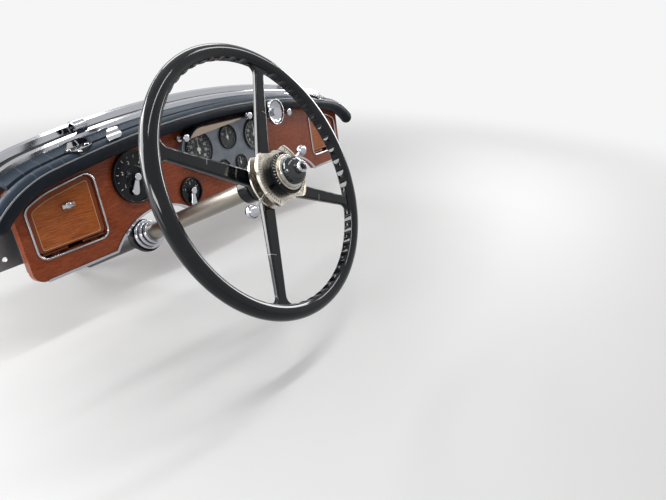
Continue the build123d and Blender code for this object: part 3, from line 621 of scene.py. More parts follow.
@dataclass(frozen=True)
class Hide:
    """Leather with a pebbled grain, fine creases and a soft sheen."""

    name: str
    tint: Colour
    rubbed: Colour
    roughness: float = 0.42
    shine: float = 0.09
    facing: Optional[Colour] = None
    creases: Sequence[float] = ()
    crease_colour: Colour = (0.115, 0.135, 0.160)

    def build(self) -> bpy.types.Material:
        """Return the material."""
        graph = Graph(self.name)
        place = graph.place()
        pebbles = graph.cells(place, 900.0)
        creases = graph.cells(graph.stretch(place, (1.0, 1.0, 1.4)), 210.0).ramp(0.02, 0.16)
        folds = graph.noise(graph.stretch(place, (26.0, 14.0, 14.0)), 1.0, 3.0, 1.2)
        cloud = graph.noise(place, 18.0, 4.0)
        rub = cloud.ramp(0.45, 0.72) * 0.55 + pebbles.ramp(0.1, 0.5) * 0.25
        height = pebbles * -0.35 + creases * 0.25 + folds * 1.4
        colour = graph.mix(rub, self.tint, self.rubbed)
        x, s, z = PANEL.coordinates(graph)
        above = PANEL.below_crown(x, s) * -1.0 - ROLL.centre_out
        turn = graph.node("ShaderNodeMath", {"operation": "ARCTAN2"}, {0: z - ROLL.centre_z, 1: above})
        front = turn > math.radians(ROLL.seam_turn)
        for place_x in self.creases:
            wander = (folds - 0.5) * 9.0 + (s + z * 0.3) * 0.06
            line = (1.0 - abs(abs(x) - place_x - wander).ramp(0.2, 1.5)) * (1.0 - front)
            colour = graph.mix(line * 0.40, colour, self.crease_colour)
            height = height - line * 1.6
        if self.facing:
            worn = graph.mix(rub, self.facing, tuple(2.2 * part for part in self.facing))
            colour = graph.mix(front, colour, worn)
        graph.set(
            Base_Color=colour,
            Roughness=self.roughness + cloud * 0.14 - creases * 0.06,
            Normal=graph.bump(height, 0.0006, 0.45),
            Specular_IOR_Level=self.shine,
        )
        return graph.owner


@dataclass(frozen=True)
class Plain:
    """A dull, lightly mottled finish such as rubber, paper or paint."""

    name: str
    tint: Colour
    other: Colour
    roughness: float
    scale: float = 120.0
    metallic: float = 0.0
    shine: float = 0.5

    def build(self) -> bpy.types.Material:
        """Return the material."""
        graph = Graph(self.name)
        place = graph.place()
        cloud = graph.noise(place, self.scale, 4.0)
        fine = graph.noise(place, self.scale * 8.0, 2.0)
        graph.set(
            Base_Color=graph.mix(cloud.ramp(0.35, 0.7), self.tint, self.other),
            Metallic=self.metallic,
            Roughness=self.roughness + fine * 0.12 - 0.06,
            Normal=graph.bump(fine, 0.00008, 0.4),
            Specular_IOR_Level=self.shine,
        )
        return graph.owner


@dataclass(frozen=True)
class ClearGlass:
    """Thin flat glass with a trace of dust."""

    name: str

    def build(self) -> bpy.types.Material:
        """Return the material."""
        graph = Graph(self.name)
        dust = graph.noise(graph.place(), 300.0, 3.0)
        graph.set(
            Base_Color=(0.55, 0.60, 0.64),
            Roughness=0.03 + dust * 0.05,
            Alpha=0.04 + dust.ramp(0.5, 0.8) * 0.02,
            Specular_IOR_Level=0.16,
        )
        return graph.owner


class Bench:
    """Blender's modelling tools, used as by hand on one piece at a time, in millimetres."""

    @staticmethod
    def clear() -> None:
        """Deselect everything."""
        bpy.ops.object.select_all(action="DESELECT")

    @staticmethod
    def name(name: str) -> Piece:
        """Name the new primitive and return it."""
        piece = bpy.context.active_object
        piece.name = name
        piece.data.name = name
        return piece

    @staticmethod
    def pick(piece: Piece) -> None:
        """Make a piece the only one selected."""
        Bench.clear()
        piece.select_set(True)
        bpy.context.view_layer.objects.active = piece

    @staticmethod
    def faces(test: Callable[[Vector, Vector], bool]) -> None:
        """Select the open mesh's faces whose centre and normal pass a test."""
        shape = bmesh.from_edit_mesh(bpy.context.edit_object.data)
        bpy.ops.mesh.select_mode(type="FACE")
        for face in shape.faces:
            face.select_set(test(face.calc_center_median(), face.normal))
        shape.select_flush_mode()
        bmesh.update_edit_mesh(bpy.context.edit_object.data)

    @staticmethod
    @contextmanager
    def editing() -> Iterator[None]:
        """Hold the active piece in edit mode, with all of it selected."""
        bpy.ops.object.mode_set(mode="EDIT")
        bpy.ops.mesh.select_all(action="SELECT")
        yield
        bpy.ops.object.mode_set(mode="OBJECT")

    @staticmethod
    def face_out() -> None:
        """Turn the open mesh's normals outwards."""
        bpy.ops.mesh.select_all(action="SELECT")
        bpy.ops.mesh.normals_make_consistent(inside=False)

    @staticmethod
    def sew(piece: Piece) -> Piece:
        """Weld the meeting edges of a grid that was wrapped into a tube."""
        Bench.pick(piece)
        with Bench.editing():
            bpy.ops.mesh.remove_doubles(threshold=WELD)
            Bench.face_out()
        bpy.ops.object.shade_smooth()
        return piece

    @staticmethod
    def turned(name: str, profile: Sequence[Pair], sides: int = 64) -> Piece:
        """Turn a closed form about z.

        Args:
            name: The piece's name.
            profile: Radius and level of each step from the foot to the top.
            sides: How many flats go round.

        Returns:
            The piece, with a flat cap at both ends.
        """
        Bench.clear()
        radius, level = profile[0]
        bpy.ops.mesh.primitive_circle_add(
            vertices=sides, radius=radius, fill_type="NGON", location=(0.0, 0.0, level)
        )
        piece = Bench.name(name)
        with Bench.editing():
            for next_radius, next_level in profile[1:]:
                rise = {"value": (0.0, 0.0, next_level - level)}
                bpy.ops.mesh.extrude_region_move(TRANSFORM_OT_translate=rise)
                ratio = next_radius / radius
                bpy.ops.transform.resize(value=(ratio, ratio, 1.0), center_override=(0.0, 0.0, next_level))
                radius, level = next_radius, next_level
            Bench.face_out()
        return piece

    @staticmethod
    def block(name: str, size: Triple, round_off: float) -> Piece:
        """Make a block whose foot is at level 0, with rounded edges."""
        Bench.clear()
        bpy.ops.mesh.primitive_cube_add(size=1.0, location=(0.0, 0.0, size[2] / 2.0), scale=size)
        piece = Bench.name(name)
        bpy.ops.object.transform_apply(location=True, rotation=True, scale=True)
        with Bench.editing():
            bpy.ops.mesh.bevel(offset=round_off, segments=2)
        return piece

    @staticmethod
    def modify(piece: Piece, kind: str, **settings: object) -> None:
        """Add a modifier to a piece and apply it."""
        Bench.pick(piece)
        modifier = piece.modifiers.new(kind.lower(), kind)
        for key, setting in settings.items():
            setattr(modifier, key, setting)
        bpy.ops.object.modifier_apply(modifier=modifier.name)

    @staticmethod
    def cut(piece: Piece, cutter: Piece) -> None:
        """Cut one piece out of another and delete the cutter."""
        Bench.modify(piece, "BOOLEAN", operation="DIFFERENCE", object=cutter, solver="EXACT")
        bpy.data.objects.remove(cutter)

    @staticmethod
    def settle(piece: Piece, matrix: Matrix) -> Piece:
        """Place a piece and apply its place to its mesh."""
        Bench.pick(piece)
        piece.matrix_world = matrix
        bpy.context.view_layer.update()
        bpy.ops.object.transform_apply(location=True, rotation=True, scale=True)
        return piece

    @staticmethod
    def put(piece: Piece, matrix: Matrix) -> Piece:
        """Settle a finished piece and smooth its shallow edges."""
        Bench.settle(piece, matrix)
        bpy.ops.object.shade_smooth_by_angle(angle=math.radians(SMOOTH_BELOW))
        return piece

    @staticmethod
    def copy(piece: Piece, name: str) -> Piece:
        """Copy a piece with its own mesh."""
        twin = piece.copy()
        twin.data = piece.data.copy()
        twin.name = name
        bpy.context.scene.collection.objects.link(twin)
        return twin

    @staticmethod
    def text(words: str, size: float, depth: float) -> Piece:
        """Make plain numerals as a thin mesh centred on the origin."""
        Bench.clear()
        bpy.ops.object.text_add()
        piece = bpy.context.active_object
        piece.data.body = words
        piece.data.size = size
        piece.data.align_x = "CENTER"
        piece.data.align_y = "CENTER"
        piece.data.extrude = depth
        bpy.ops.object.convert(target="MESH")
        return bpy.context.active_object

    @staticmethod
    def join(pieces: Sequence[Piece], name: str) -> Piece:
        """Join pieces into one."""
        Bench.clear()
        for piece in pieces:
            piece.select_set(True)
        bpy.context.view_layer.objects.active = pieces[0]
        bpy.ops.object.join()
        return Bench.name(name)


BLUE_HIDE = ((0.017, 0.028, 0.044), (0.036, 0.054, 0.080))
SILL_CREASES = (436.0, 462.0, 494.0)
FINISHES = (
    Veneer(
        "dash_veneer",
        Figure.SURROUND,
        dark=(0.150, 0.027, 0.009),
        middle=(0.215, 0.044, 0.014),
        light=(0.270, 0.064, 0.021),
        run=0.055,
        pitch=0.30,
    ),
    Veneer("door_veneer", Figure.DOOR, (0.195, 0.042, 0.010), (0.315, 0.082, 0.019), (0.420, 0.125, 0.030)),
    Veneer("bin_board", Figure.BOARD, (0.16, 0.08, 0.04), (0.28, 0.17, 0.09), (0.38, 0.25, 0.14)),
    Plating("bright_trim", (0.44, 0.45, 0.48), 0.06),
    Plating("satin_nickel", (0.66, 0.61, 0.53), 0.24, Texture.TURNED, patina=0.6),
    # Its part below level -396, behind the panel, is painted near black as shade.
    Plating("jacket_nickel", (0.26, 0.24, 0.21), 0.30, Texture.BRUSHED, painted_below=-396.0),
    # The flap's brown tint is partly the metal's own and partly a painted tan reflection.
    Plating("flap_metal_painted_reflection", (0.30, 0.24, 0.19), 0.20, Texture.BRUSHED),
    # The hinges are dark red-brown like the door's border, a painted shade standing in for the shadowed gap
    # under each door.
    Plating("hinge_painted_shade", (0.07, 0.024, 0.014), 0.40, Texture.BRUSHED),
    Plating("bracket_steel", (0.20, 0.20, 0.21), 0.38, Texture.BRUSHED),
    Plating("gunmetal", (0.056, 0.058, 0.060), 0.10, Texture.TURNED),
    Plating("clip_chrome", (0.46, 0.47, 0.49), 0.10),
    Plating("screw_chrome", (0.46, 0.46, 0.47), 0.12),
    Plain("plate_metal", (0.105, 0.118, 0.14), (0.135, 0.148, 0.17), 0.36, 60.0, 0.6),
    Gloss("black_enamel", (0.004, 0.005, 0.007), 0.10, 0.20),
    # The pale line at radius 130.5 is a painted highlight along the spokes' joint.
    Gloss("wheel_gloss", (0.002, 0.003, 0.005), 0.04, 0.28, joint_r=130.5, joint_turn=-18.5),
    Plain("dial_black", (0.004, 0.004, 0.005), (0.008, 0.008, 0.010), 0.55, 120.0, 0.0, 0.15),
    Plain("needle_white", (0.62, 0.60, 0.52), (0.72, 0.70, 0.62), 0.42),
    Plain("dial_white", (0.58, 0.58, 0.54), (0.72, 0.72, 0.68), 0.5),
    Plain("sill_rubber", (0.010, 0.010, 0.011), (0.022, 0.022, 0.024), 0.62),
    ClearGlass("gauge_glass"),
    Hide("dash_leather", *BLUE_HIDE, 0.46, facing=(0.006, 0.008, 0.012), creases=SILL_CREASES),
    Hide("sill_leather", *BLUE_HIDE, 0.46, creases=SILL_CREASES),
    # The welt's pale grey is a painted highlight along the roll's top edge, laid on the piping.
    Hide("welt_leather_highlight", (0.150, 0.155, 0.160), (0.240, 0.245, 0.250), 0.36, 0.4),
)


class Workshop:
    """The frame and its finishes, shared by the sub-assemblies."""

    def __init__(self, frame: dict) -> None:
        """Keep the frame's nodes and mix every finish once."""
        self.nodes = frame["nodes"]
        self.materials = {finish.name: finish.build() for finish in FINISHES}

    def dress(self, finish: str, *names: str) -> None:
        """Give CAD nodes a finish."""
        for name in names:
            slots = self.nodes[name].data.materials
            slots.clear()
            slots.append(self.materials[finish])
            LOG.info("dressed %s in %s", name, finish)

    def fit(self, piece: Piece, finish: str, body: str, slot: str = "") -> Piece:
        """Give a new piece its finish and body.

        Args:
            piece: The finished mesh.
            finish: The finish's name.
            body: The CAD body it rides on.
            slot: The record's slot, if it isn't the finish's own name; not used.

        Returns:
            The piece.
        """
        piece.data.materials.clear()
        piece.data.materials.append(self.materials[finish])
        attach(piece, body)
        LOG.info("added %s in %s on %s", piece.name, finish, body)
        return piece


@dataclass
class Fastener:
    """A slotted round-head screw."""

    radius: float = 4.2
    height: float = 2.2
    slot_width: float = 0.8
    slot_round: float = 0.05

    def build(self, name: str) -> Piece:
        """Return a screw whose head stands on level 0."""
        r, h = self.radius, self.height
        profile = ((r, -0.3), (r, 0.2), (r * 0.93, h * 0.55), (r * 0.72, h * 0.86), (r * 0.42, h))
        screw = Bench.turned(name, profile, 32)
        cutter = Bench.block("slot_cutter", (3.0 * r, self.slot_width, h), self.slot_round)
        cutter.location.z = h * 0.5
        Bench.cut(screw, cutter)
        return screw


@dataclass
class Woodwork:
    """Panel, gloveboxes and their trim."""

    shop: Workshop
    catch_x: float = 450.0
    catch_s: float = 121.0
    wing_level: float = 2.0
    wing_size: Triple = (25.0, 11.0, 7.0)
    wing_tip: Triple = (1.0, 0.75, 0.8)

    def build(self) -> None:
        """Dress the panel, the boxes and their small metal."""
        self.shop.dress("dash_veneer", "dash_panel")
        self.shop.dress("bright_trim", "lower_trim")
        for side in ("left", "right"):
            self.shop.dress("door_veneer", f"{side}_box_door")
            self.shop.dress("bin_board", f"{side}_box_bin")
            self.shop.dress("bright_trim", f"{side}_box_bead", f"{side}_box_catch")
            # The hinges wear a dark painted shade, so they read as the shadowed gap under the door.
            self.shop.dress("hinge_painted_shade", f"{side}_fixed_hinge", f"{side}_door_hinge")
            self.shop.dress("bracket_steel", f"{side}_end_bracket")
            self.shop.fit(self._wings(side), "bright_trim", f"{side}_door")

    def _wings(self, side: str) -> Piece:
        """Return the small winged turn-piece at the foot of a door's catch."""
        length, width, height = self.wing_size
        wings = Bench.block(f"{side}_catch_wings", (length, width, height), 0.8)
        with Bench.editing():
            Bench.faces(lambda middle, normal: abs(middle.x) > length * 0.45)
            bpy.ops.transform.resize(value=self.wing_tip, center_override=(0.0, 0.0, height / 2.0))
        Bench.modify(wings, "SUBSURF", levels=2, render_levels=2)
        sign = -1.0 if side == "left" else 1.0
        return Bench.put(wings, PANEL.matrix(sign * self.catch_x, self.catch_s, self.wing_level))


@dataclass
class DialFace:
    """One gauge's printed marks: ticks round an arc, with plain numbers."""

    name: str
    x: float
    s: float
    radius: float
    level: float
    ticks: int
    numbers: Sequence[str]
    start: float = 225.0
    sweep: float = -270.0
    number_size: float = 0.24
    number_reach: float = 0.62
    number_lift: float = 0.12
    tick_reach: float = 0.84
    tick_length: float = 0.11
    tick_width: float = 0.028
    tick_height: float = 0.25
    short_tick: float = 0.55

    def build(self) -> Piece:
        """Return the marks as one piece on the dial."""
        marks = []
        tick_size = (self.radius * self.tick_length, self.radius * self.tick_width, self.tick_height)
        tick = Bench.block("tick", tick_size, MARK_ROUND)
        for index in range(self.ticks):
            turn = math.radians(self.start + self.sweep * index / (self.ticks - 1))
            twin = Bench.copy(tick, "tick_copy")
            long = 1.0 if index % (5 if self.ticks > 60 else 2) == 0 else self.short_tick
            shape = Matrix.Diagonal((long, long * 0.6 + 0.4, 1.0, 1.0))
            place = self._around(turn, self.tick_reach, 0.0) @ Matrix.Rotation(turn, 4, "Z") @ shape
            marks.append(Bench.settle(twin, place))
        bpy.data.objects.remove(tick)
        full_turn = abs(self.sweep) == 360.0
        steps = len(self.numbers) if full_turn else len(self.numbers) - 1
        for index, words in enumerate(self.numbers):
            turn = math.radians(self.start + self.sweep * index / steps)
            number = Bench.text(words, self.radius * self.number_size, self.number_lift)
            marks.append(Bench.settle(number, self._around(turn, self.number_reach, self.number_lift)))
        face = Bench.join(marks, self.name)
        return Bench.put(face, PANEL.matrix(self.x, self.s, self.level))

    def _around(self, turn: float, share: float, level: float) -> Matrix:
        """Return the move to a turn in radians, at a share of the dial's radius."""
        reach = self.radius * share
        return Matrix.Translation((reach * math.cos(turn), reach * math.sin(turn), level))


@dataclass
class Instruments:
    """Plate, gauges, lamp hood, switch dials and the knobs round them."""

    shop: Workshop
    dial_level: float = 13.5
    switch_level: float = 4.0
    plate_x: float = -5.0
    bead_lift: float = 4.0
    bead_r: float = 0.6
    bead_foot: float = 0.5

    def build(self) -> None:
        """Dress the instruments and print their dials."""
        self.shop.dress("plate_metal", "instrument_plate")
        self.shop.dress("black_enamel", "gauge_cans", "gauge_bezels", "switch_dials", "switch_bezels")
        self.shop.dress("black_enamel", "lamp_hood")
        self.shop.dress("dial_black", "gauge_dials")
        self.shop.dress("needle_white", "gauge_needles")
        self.shop.dress("gauge_glass", "gauge_glasses")
        self.shop.dress("bright_trim", "hood_knobs", "switch_levers", "dished_knob", "ball_knob")
        # The flap's metal carries a painted tan reflection in its tint.
        self.shop.dress("flap_metal_painted_reflection", "hood_flap")
        self._dials()

    def _dials(self) -> None:
        """Add the marks of the five gauges and the two switch dials."""
        tens = [str(10 * step) for step in range(9)]
        hours = ["12"] + [str(hour) for hour in range(1, 12)]
        mid, low, top = self.plate_x, self.dial_level, self.switch_level
        third = (150.0, -120.0)
        faces = (
            DialFace("left_gauge_marks", mid - 103.0, 156.0, 38.5, low, 17, tens),
            DialFace("right_gauge_marks", mid + 103.0, 156.0, 38.5, low, 61, hours, 90.0, -360.0),
            DialFace("middle_gauge_marks", mid, 167.0, 26.5, low, 11, ("20", "0", "20"), *third),
            DialFace("low_left_marks", mid - 32.0, 97.0, 16.5, low, 7, ("0", "50", "100"), *third, 0.3),
            DialFace("low_right_marks", mid + 32.0, 97.0, 16.5, low, 7, ("1", "5", "9"), *third, 0.3),
            DialFace("switch_marks", -290.0, 135.6, 51.0, top, 13, "123456", 205.0, -250.0, 0.2),
            DialFace("starter_marks", -148.5, 67.3, 28.5, top - 1.0, 7, "123", 160.0, -140.0, 0.28),
        )
        for face in faces:
            self.shop.fit(face.build(), "dial_white", "dash", "needle_white")
        for face in (faces[0], faces[1], faces[5], faces[6]):
            self.shop.fit(self._inner_ring(face), "black_enamel", "dash")
        for name, face, reach in (("switch_line", faces[5], 51.5), ("starter_line", faces[6], 29.0)):
            self.shop.fit(self._bezel_line(name, face, reach), "gunmetal", "dash", "satin_nickel")

    def _bezel_line(self, name: str, face: DialFace, reach: float) -> Piece:
        """Return the thin dark bead on a switch bezel's inner edge, with its foot let into the bezel."""
        Bench.clear()
        bpy.ops.mesh.primitive_torus_add(
            major_segments=96,
            minor_segments=10,
            major_radius=reach + 0.5,
            minor_radius=self.bead_r,
            location=(0.0, 0.0, face.level + self.bead_lift),
        )
        ring = Bench.name(name)
        bpy.ops.object.transform_apply(location=True, rotation=True, scale=True)
        with Bench.editing():
            Bench.faces(lambda middle, normal: normal.z < -0.3)
            bpy.ops.transform.translate(value=(0.0, 0.0, -self.bead_foot))
        return Bench.put(ring, PANEL.matrix(face.x, face.s, 0.0))

    def _inner_ring(self, face: DialFace) -> Piece:
        """Return a thin raised ring that stands inside a dial's printed marks."""
        reach = face.radius * (0.47 if face.level < self.dial_level else 0.40)
        profile = ((reach, 0.0), (reach, 0.7), (reach * 0.97, 1.0), (reach * 0.93, 0.5))
        ring = Bench.turned(f"{face.name}_ring", profile)
        return Bench.put(ring, PANEL.matrix(face.x, face.s, face.level))


@dataclass
class Leatherwork:
    """The padded roll and the covered sill board behind it."""

    shop: Workshop
    end_turn: float = 44.0
    along: int = 420
    around: int = 100
    groove: float = 1.3
    groove_turn: float = 4.5
    station_steps: int = 4000
    welt_r: float = 1.5
    welt_step: float = 5.0
    welt_along: int = 700
    welt_around: int = 12

    def build(self) -> None:
        """Model the roll and dress the sill."""
        self.shop.dress("sill_leather", "sill_board")
        roll = self._roll()
        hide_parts("top_roll")
        self.shop.fit(roll, "dash_leather", "dash")
        # The piping is painted pale grey as the highlight along the roll's top.
        self.shop.fit(self._welt(), "welt_leather_highlight", "dash", "dash_leather")

    def _welt(self) -> Piece:
        """Model the piping between the roll and the sill, a thin tube with puckered stitches."""
        Bench.clear()
        bpy.ops.mesh.primitive_grid_add(
            x_subdivisions=self.welt_along, y_subdivisions=self.welt_around, size=2.0
        )
        welt = Bench.name("roll_welt")
        angle = math.radians(ROLL.seam_turn + self.welt_step)
        reach = ROLL.radius + self.welt_r * 0.55
        out, z = ROLL.centre_out + reach * math.cos(angle), ROLL.centre_z + reach * math.sin(angle)
        for vertex in welt.data.vertices:
            turn = vertex.co.x * self.end_turn
            round_turn = math.pi * vertex.co.y
            r = self.welt_r * (1.0 + 0.05 * math.sin(vertex.co.x * self.welt_along))
            r *= 1.0 if abs(vertex.co.x) < 1.0 - 1e-6 else 0.0
            x, s = PANEL.crown(turn, out + r * math.cos(round_turn))
            vertex.co = PANEL.point(x, s, z + r * math.sin(round_turn))
        return Bench.sew(welt)

    def _stations(self) -> list[Pair]:
        """Return the turn and the length at even steps along the roll's middle line."""
        steps = self.station_steps
        turns = [self.end_turn * (2.0 * i / steps - 1.0) for i in range(steps + 1)]
        lengths = [0.0]
        last = PANEL.crown(turns[0], ROLL.centre_out)
        for turn in turns[1:]:
            here = PANEL.crown(turn, ROLL.centre_out)
            lengths.append(lengths[-1] + math.dist(here, last))
            last = here
        return list(zip(turns, lengths))

    def _roll(self) -> Piece:
        """Model the roll from a grid wrapped round its middle line."""
        Bench.clear()
        bpy.ops.mesh.primitive_grid_add(x_subdivisions=self.along, y_subdivisions=self.around, size=2.0)
        roll = Bench.name("leather_roll")
        stations = self._stations()
        total = stations[-1][1]
        cap = ROLL.radius
        cursor = 0
        vertices = sorted(roll.data.vertices, key=lambda v: v.co.x)
        for vertex in vertices:
            share = (vertex.co.x + 1.0) / 2.0
            turn_round = math.pi * (vertex.co.y + 1.0)
            reach = -cap + share * (total + 2.0 * cap)
            past = max(-reach, reach - total, 0.0)
            shrink = math.sqrt(max(1.0 - (past / cap) ** 2, 0.0))
            inside = min(max(reach, 0.0), total)
            while cursor < len(stations) - 2 and stations[cursor + 1][1] < inside:
                cursor += 1
            turn = stations[cursor][0]
            side = PANEL.crown(turn, ROLL.centre_out)
            angle = math.radians(turn)
            out = (math.sin(angle), math.cos(angle))
            tangent = (math.cos(angle), -math.sin(angle))
            step = reach - stations[cursor][1]
            seam = abs(math.degrees(turn_round) - ROLL.seam_turn) / self.groove_turn
            r = (ROLL.radius + self._swell(reach, turn_round) - self.groove * max(1.0 - seam, 0.0)) * shrink
            x = side[0] + tangent[0] * step + out[0] * r * math.cos(turn_round)
            s = side[1] + tangent[1] * step + out[1] * r * math.cos(turn_round)
            vertex.co = PANEL.point(x, s, ROLL.centre_z + r * math.sin(turn_round))
        return Bench.sew(roll)

    @staticmethod
    def _swell(reach: float, turn_round: float) -> float:
        """Return the leather's small rise or fall at a place on the roll."""
        x, y = math.cos(turn_round), math.sin(turn_round)
        soft = noise.noise(Vector((reach * 0.012, x * 0.8, y * 0.8)))
        crease = noise.noise(Vector((reach * 0.11, x * 0.5, y * 0.5)))
        seam = abs(math.degrees(turn_round) - ROLL.seam_turn) / 30.0
        pucker = noise.noise(Vector((reach * 0.30, 4.0, 2.0))) * max(1.0 - seam, 0.0)
        return 0.35 * soft - 0.40 * max(crease - 0.2, 0.0) / 0.5 + 0.35 * pucker


@dataclass
class SillTrim:
    """Bright rails, rubber, cups, screwed clamp plates and bright clips on the sill."""

    shop: Workshop
    plate: Sequence[Pair] = (
        (391.0, 24.0),
        (356.0, 21.0),
        (371.0, -24.0),
        (407.0, -43.0),
        (425.0, -12.0),
    )
    screws: Sequence[Pair] = ((415.0, -15.0), (406.0, -32.5), (382.0, -21.0))
    clip: Sequence[Pair] = ((284.0, 12.0), (308.0, 14.0), (350.0, -37.0), (315.0, -37.0))
    clip_lift: float = 2.6
    plate_lift: float = 0.3
    sheet: float = 2.0
    corner_r: float = 6.0
    screw_start: float = 20.0
    screw_step: float = 35.0
    smooth_below: float = 40.0
    leather_out: float = 38.6
    leather_rise: float = 0.378
    leather_run: float = 0.926
    skin_r: float = 19.6

    def build(self) -> None:
        """Dress the rails and cups and add the plates, screws and clips."""
        self.shop.dress("bright_trim", "near_rail", "far_rail", "rail_cups")
        self.shop.dress("sill_rubber", "sill_rubber")
        screw = Fastener().build("screw")
        for side, sign in (("left", -1.0), ("right", 1.0)):
            plate = self._sheet(f"{side}_clamp_plate", sign, self.plate, self.plate_lift)
            self.shop.fit(plate, "black_enamel", "dash")
            clip = self._sheet(f"{side}_sill_clip", sign, self.clip, self.clip_lift)
            self.shop.fit(clip, "clip_chrome", "dash", "bright_trim")
            for index, (x, forward) in enumerate(self.screws):
                twin = Bench.copy(screw, f"{side}_clamp_screw_{index + 1}")
                Bench.put(twin, self._stand(sign * x, forward, self.screw_step * index + self.screw_start))
                self.shop.fit(twin, "screw_chrome", "dash", "bright_trim")
        bpy.data.objects.remove(screw)

    def _over(self, x: float, forward: float, lift: float) -> Vector:
        """Return a point above the sill's leather or the roll behind it.

        Args:
            x: Place across, in millimetres.
            forward: Distance along the leather from the panel, less than 0 over the roll.
            lift: Height above the leather.

        Returns:
            The point in the world, in metres.
        """
        if forward > 0.0:
            out, z = self.leather_out + self.leather_rise * forward + lift, -self.leather_run * forward
        elif forward > -ROLL.centre_z:
            out, z = self.leather_out + lift, -forward
        else:
            angle = (-forward - ROLL.centre_z) / self.skin_r
            out = ROLL.centre_out + (self.skin_r + lift) * math.cos(angle)
            z = ROLL.centre_z + (self.skin_r + lift) * math.sin(angle)
        across, s = PANEL.crown(math.degrees(math.asin(x / PANEL.crown_r)), out)
        return PANEL.point(across, s, z)

    def _sheet(
        self, name: str, sign: float, corners: Sequence[Pair], lift: float
    ) -> Piece:
        """Model a sheet bent over the leather.

        Args:
            name: The piece's name.
            sign: Which side, -1 or 1.
            corners: Its corners in order, as place across and distance forward.
            lift: Height of its under side above the leather.

        Returns:
            The sheet with rounded corners, its thickness and rounded edges.
        """
        Bench.clear()
        bpy.ops.mesh.primitive_circle_add(vertices=len(corners), radius=1.0, fill_type="NOTHING")
        piece = Bench.name(name)
        for vertex, (x, forward) in zip(piece.data.vertices, corners):
            vertex.co = (sign * x, forward, 0.0)
        with Bench.editing():
            bpy.ops.mesh.bevel(offset=self.corner_r, segments=4, affect="VERTICES")
            bpy.ops.mesh.select_all(action="SELECT")
            bpy.ops.mesh.edge_face_add()
            bpy.ops.mesh.poke()
            bpy.ops.mesh.subdivide(number_cuts=9)
        for vertex in piece.data.vertices:
            vertex.co = self._over(vertex.co.x, vertex.co.y, self.sheet / 2.0 + lift)
        Bench.modify(piece, "SOLIDIFY", thickness=self.sheet * MM, offset=0.0)
        Bench.modify(piece, "BEVEL", width=0.5 * MM, segments=2, limit_method="ANGLE", angle_limit=1.0)
        Bench.pick(piece)
        with Bench.editing():
            Bench.face_out()
        bpy.ops.object.shade_smooth_by_angle(angle=math.radians(self.smooth_below))
        return piece

    def _stand(self, x: float, forward: float, turn: float) -> Matrix:
        """Return a screw's placement, square to the plate at a place."""
        middle = self._over(x, forward, self.sheet + self.plate_lift)
        across = (self._over(x + 1.0, forward, self.sheet) - middle).normalized()
        along = (self._over(x, forward + 1.0, self.sheet) - middle).normalized()
        up = across.cross(along).normalized()
        along = up.cross(across)
        axes = Matrix((across, along, up)).transposed().to_4x4()
        placed = Matrix.Translation(middle) @ axes
        return placed @ spin(turn) @ Matrix.Scale(MM, 4)


@dataclass
class Column:
    """Jacket, collar, head, clamp and shaft."""

    shop: Workshop

    def build(self) -> None:
        """Dress the column."""
        self.shop.dress("jacket_nickel", "column_jacket")
        self.shop.dress("bright_trim", "column_collar")
        self.shop.dress("black_enamel", "collar_ring", "column_head", "column_clamp")
        self.shop.dress("bracket_steel", "steering_shaft", "control_tube")


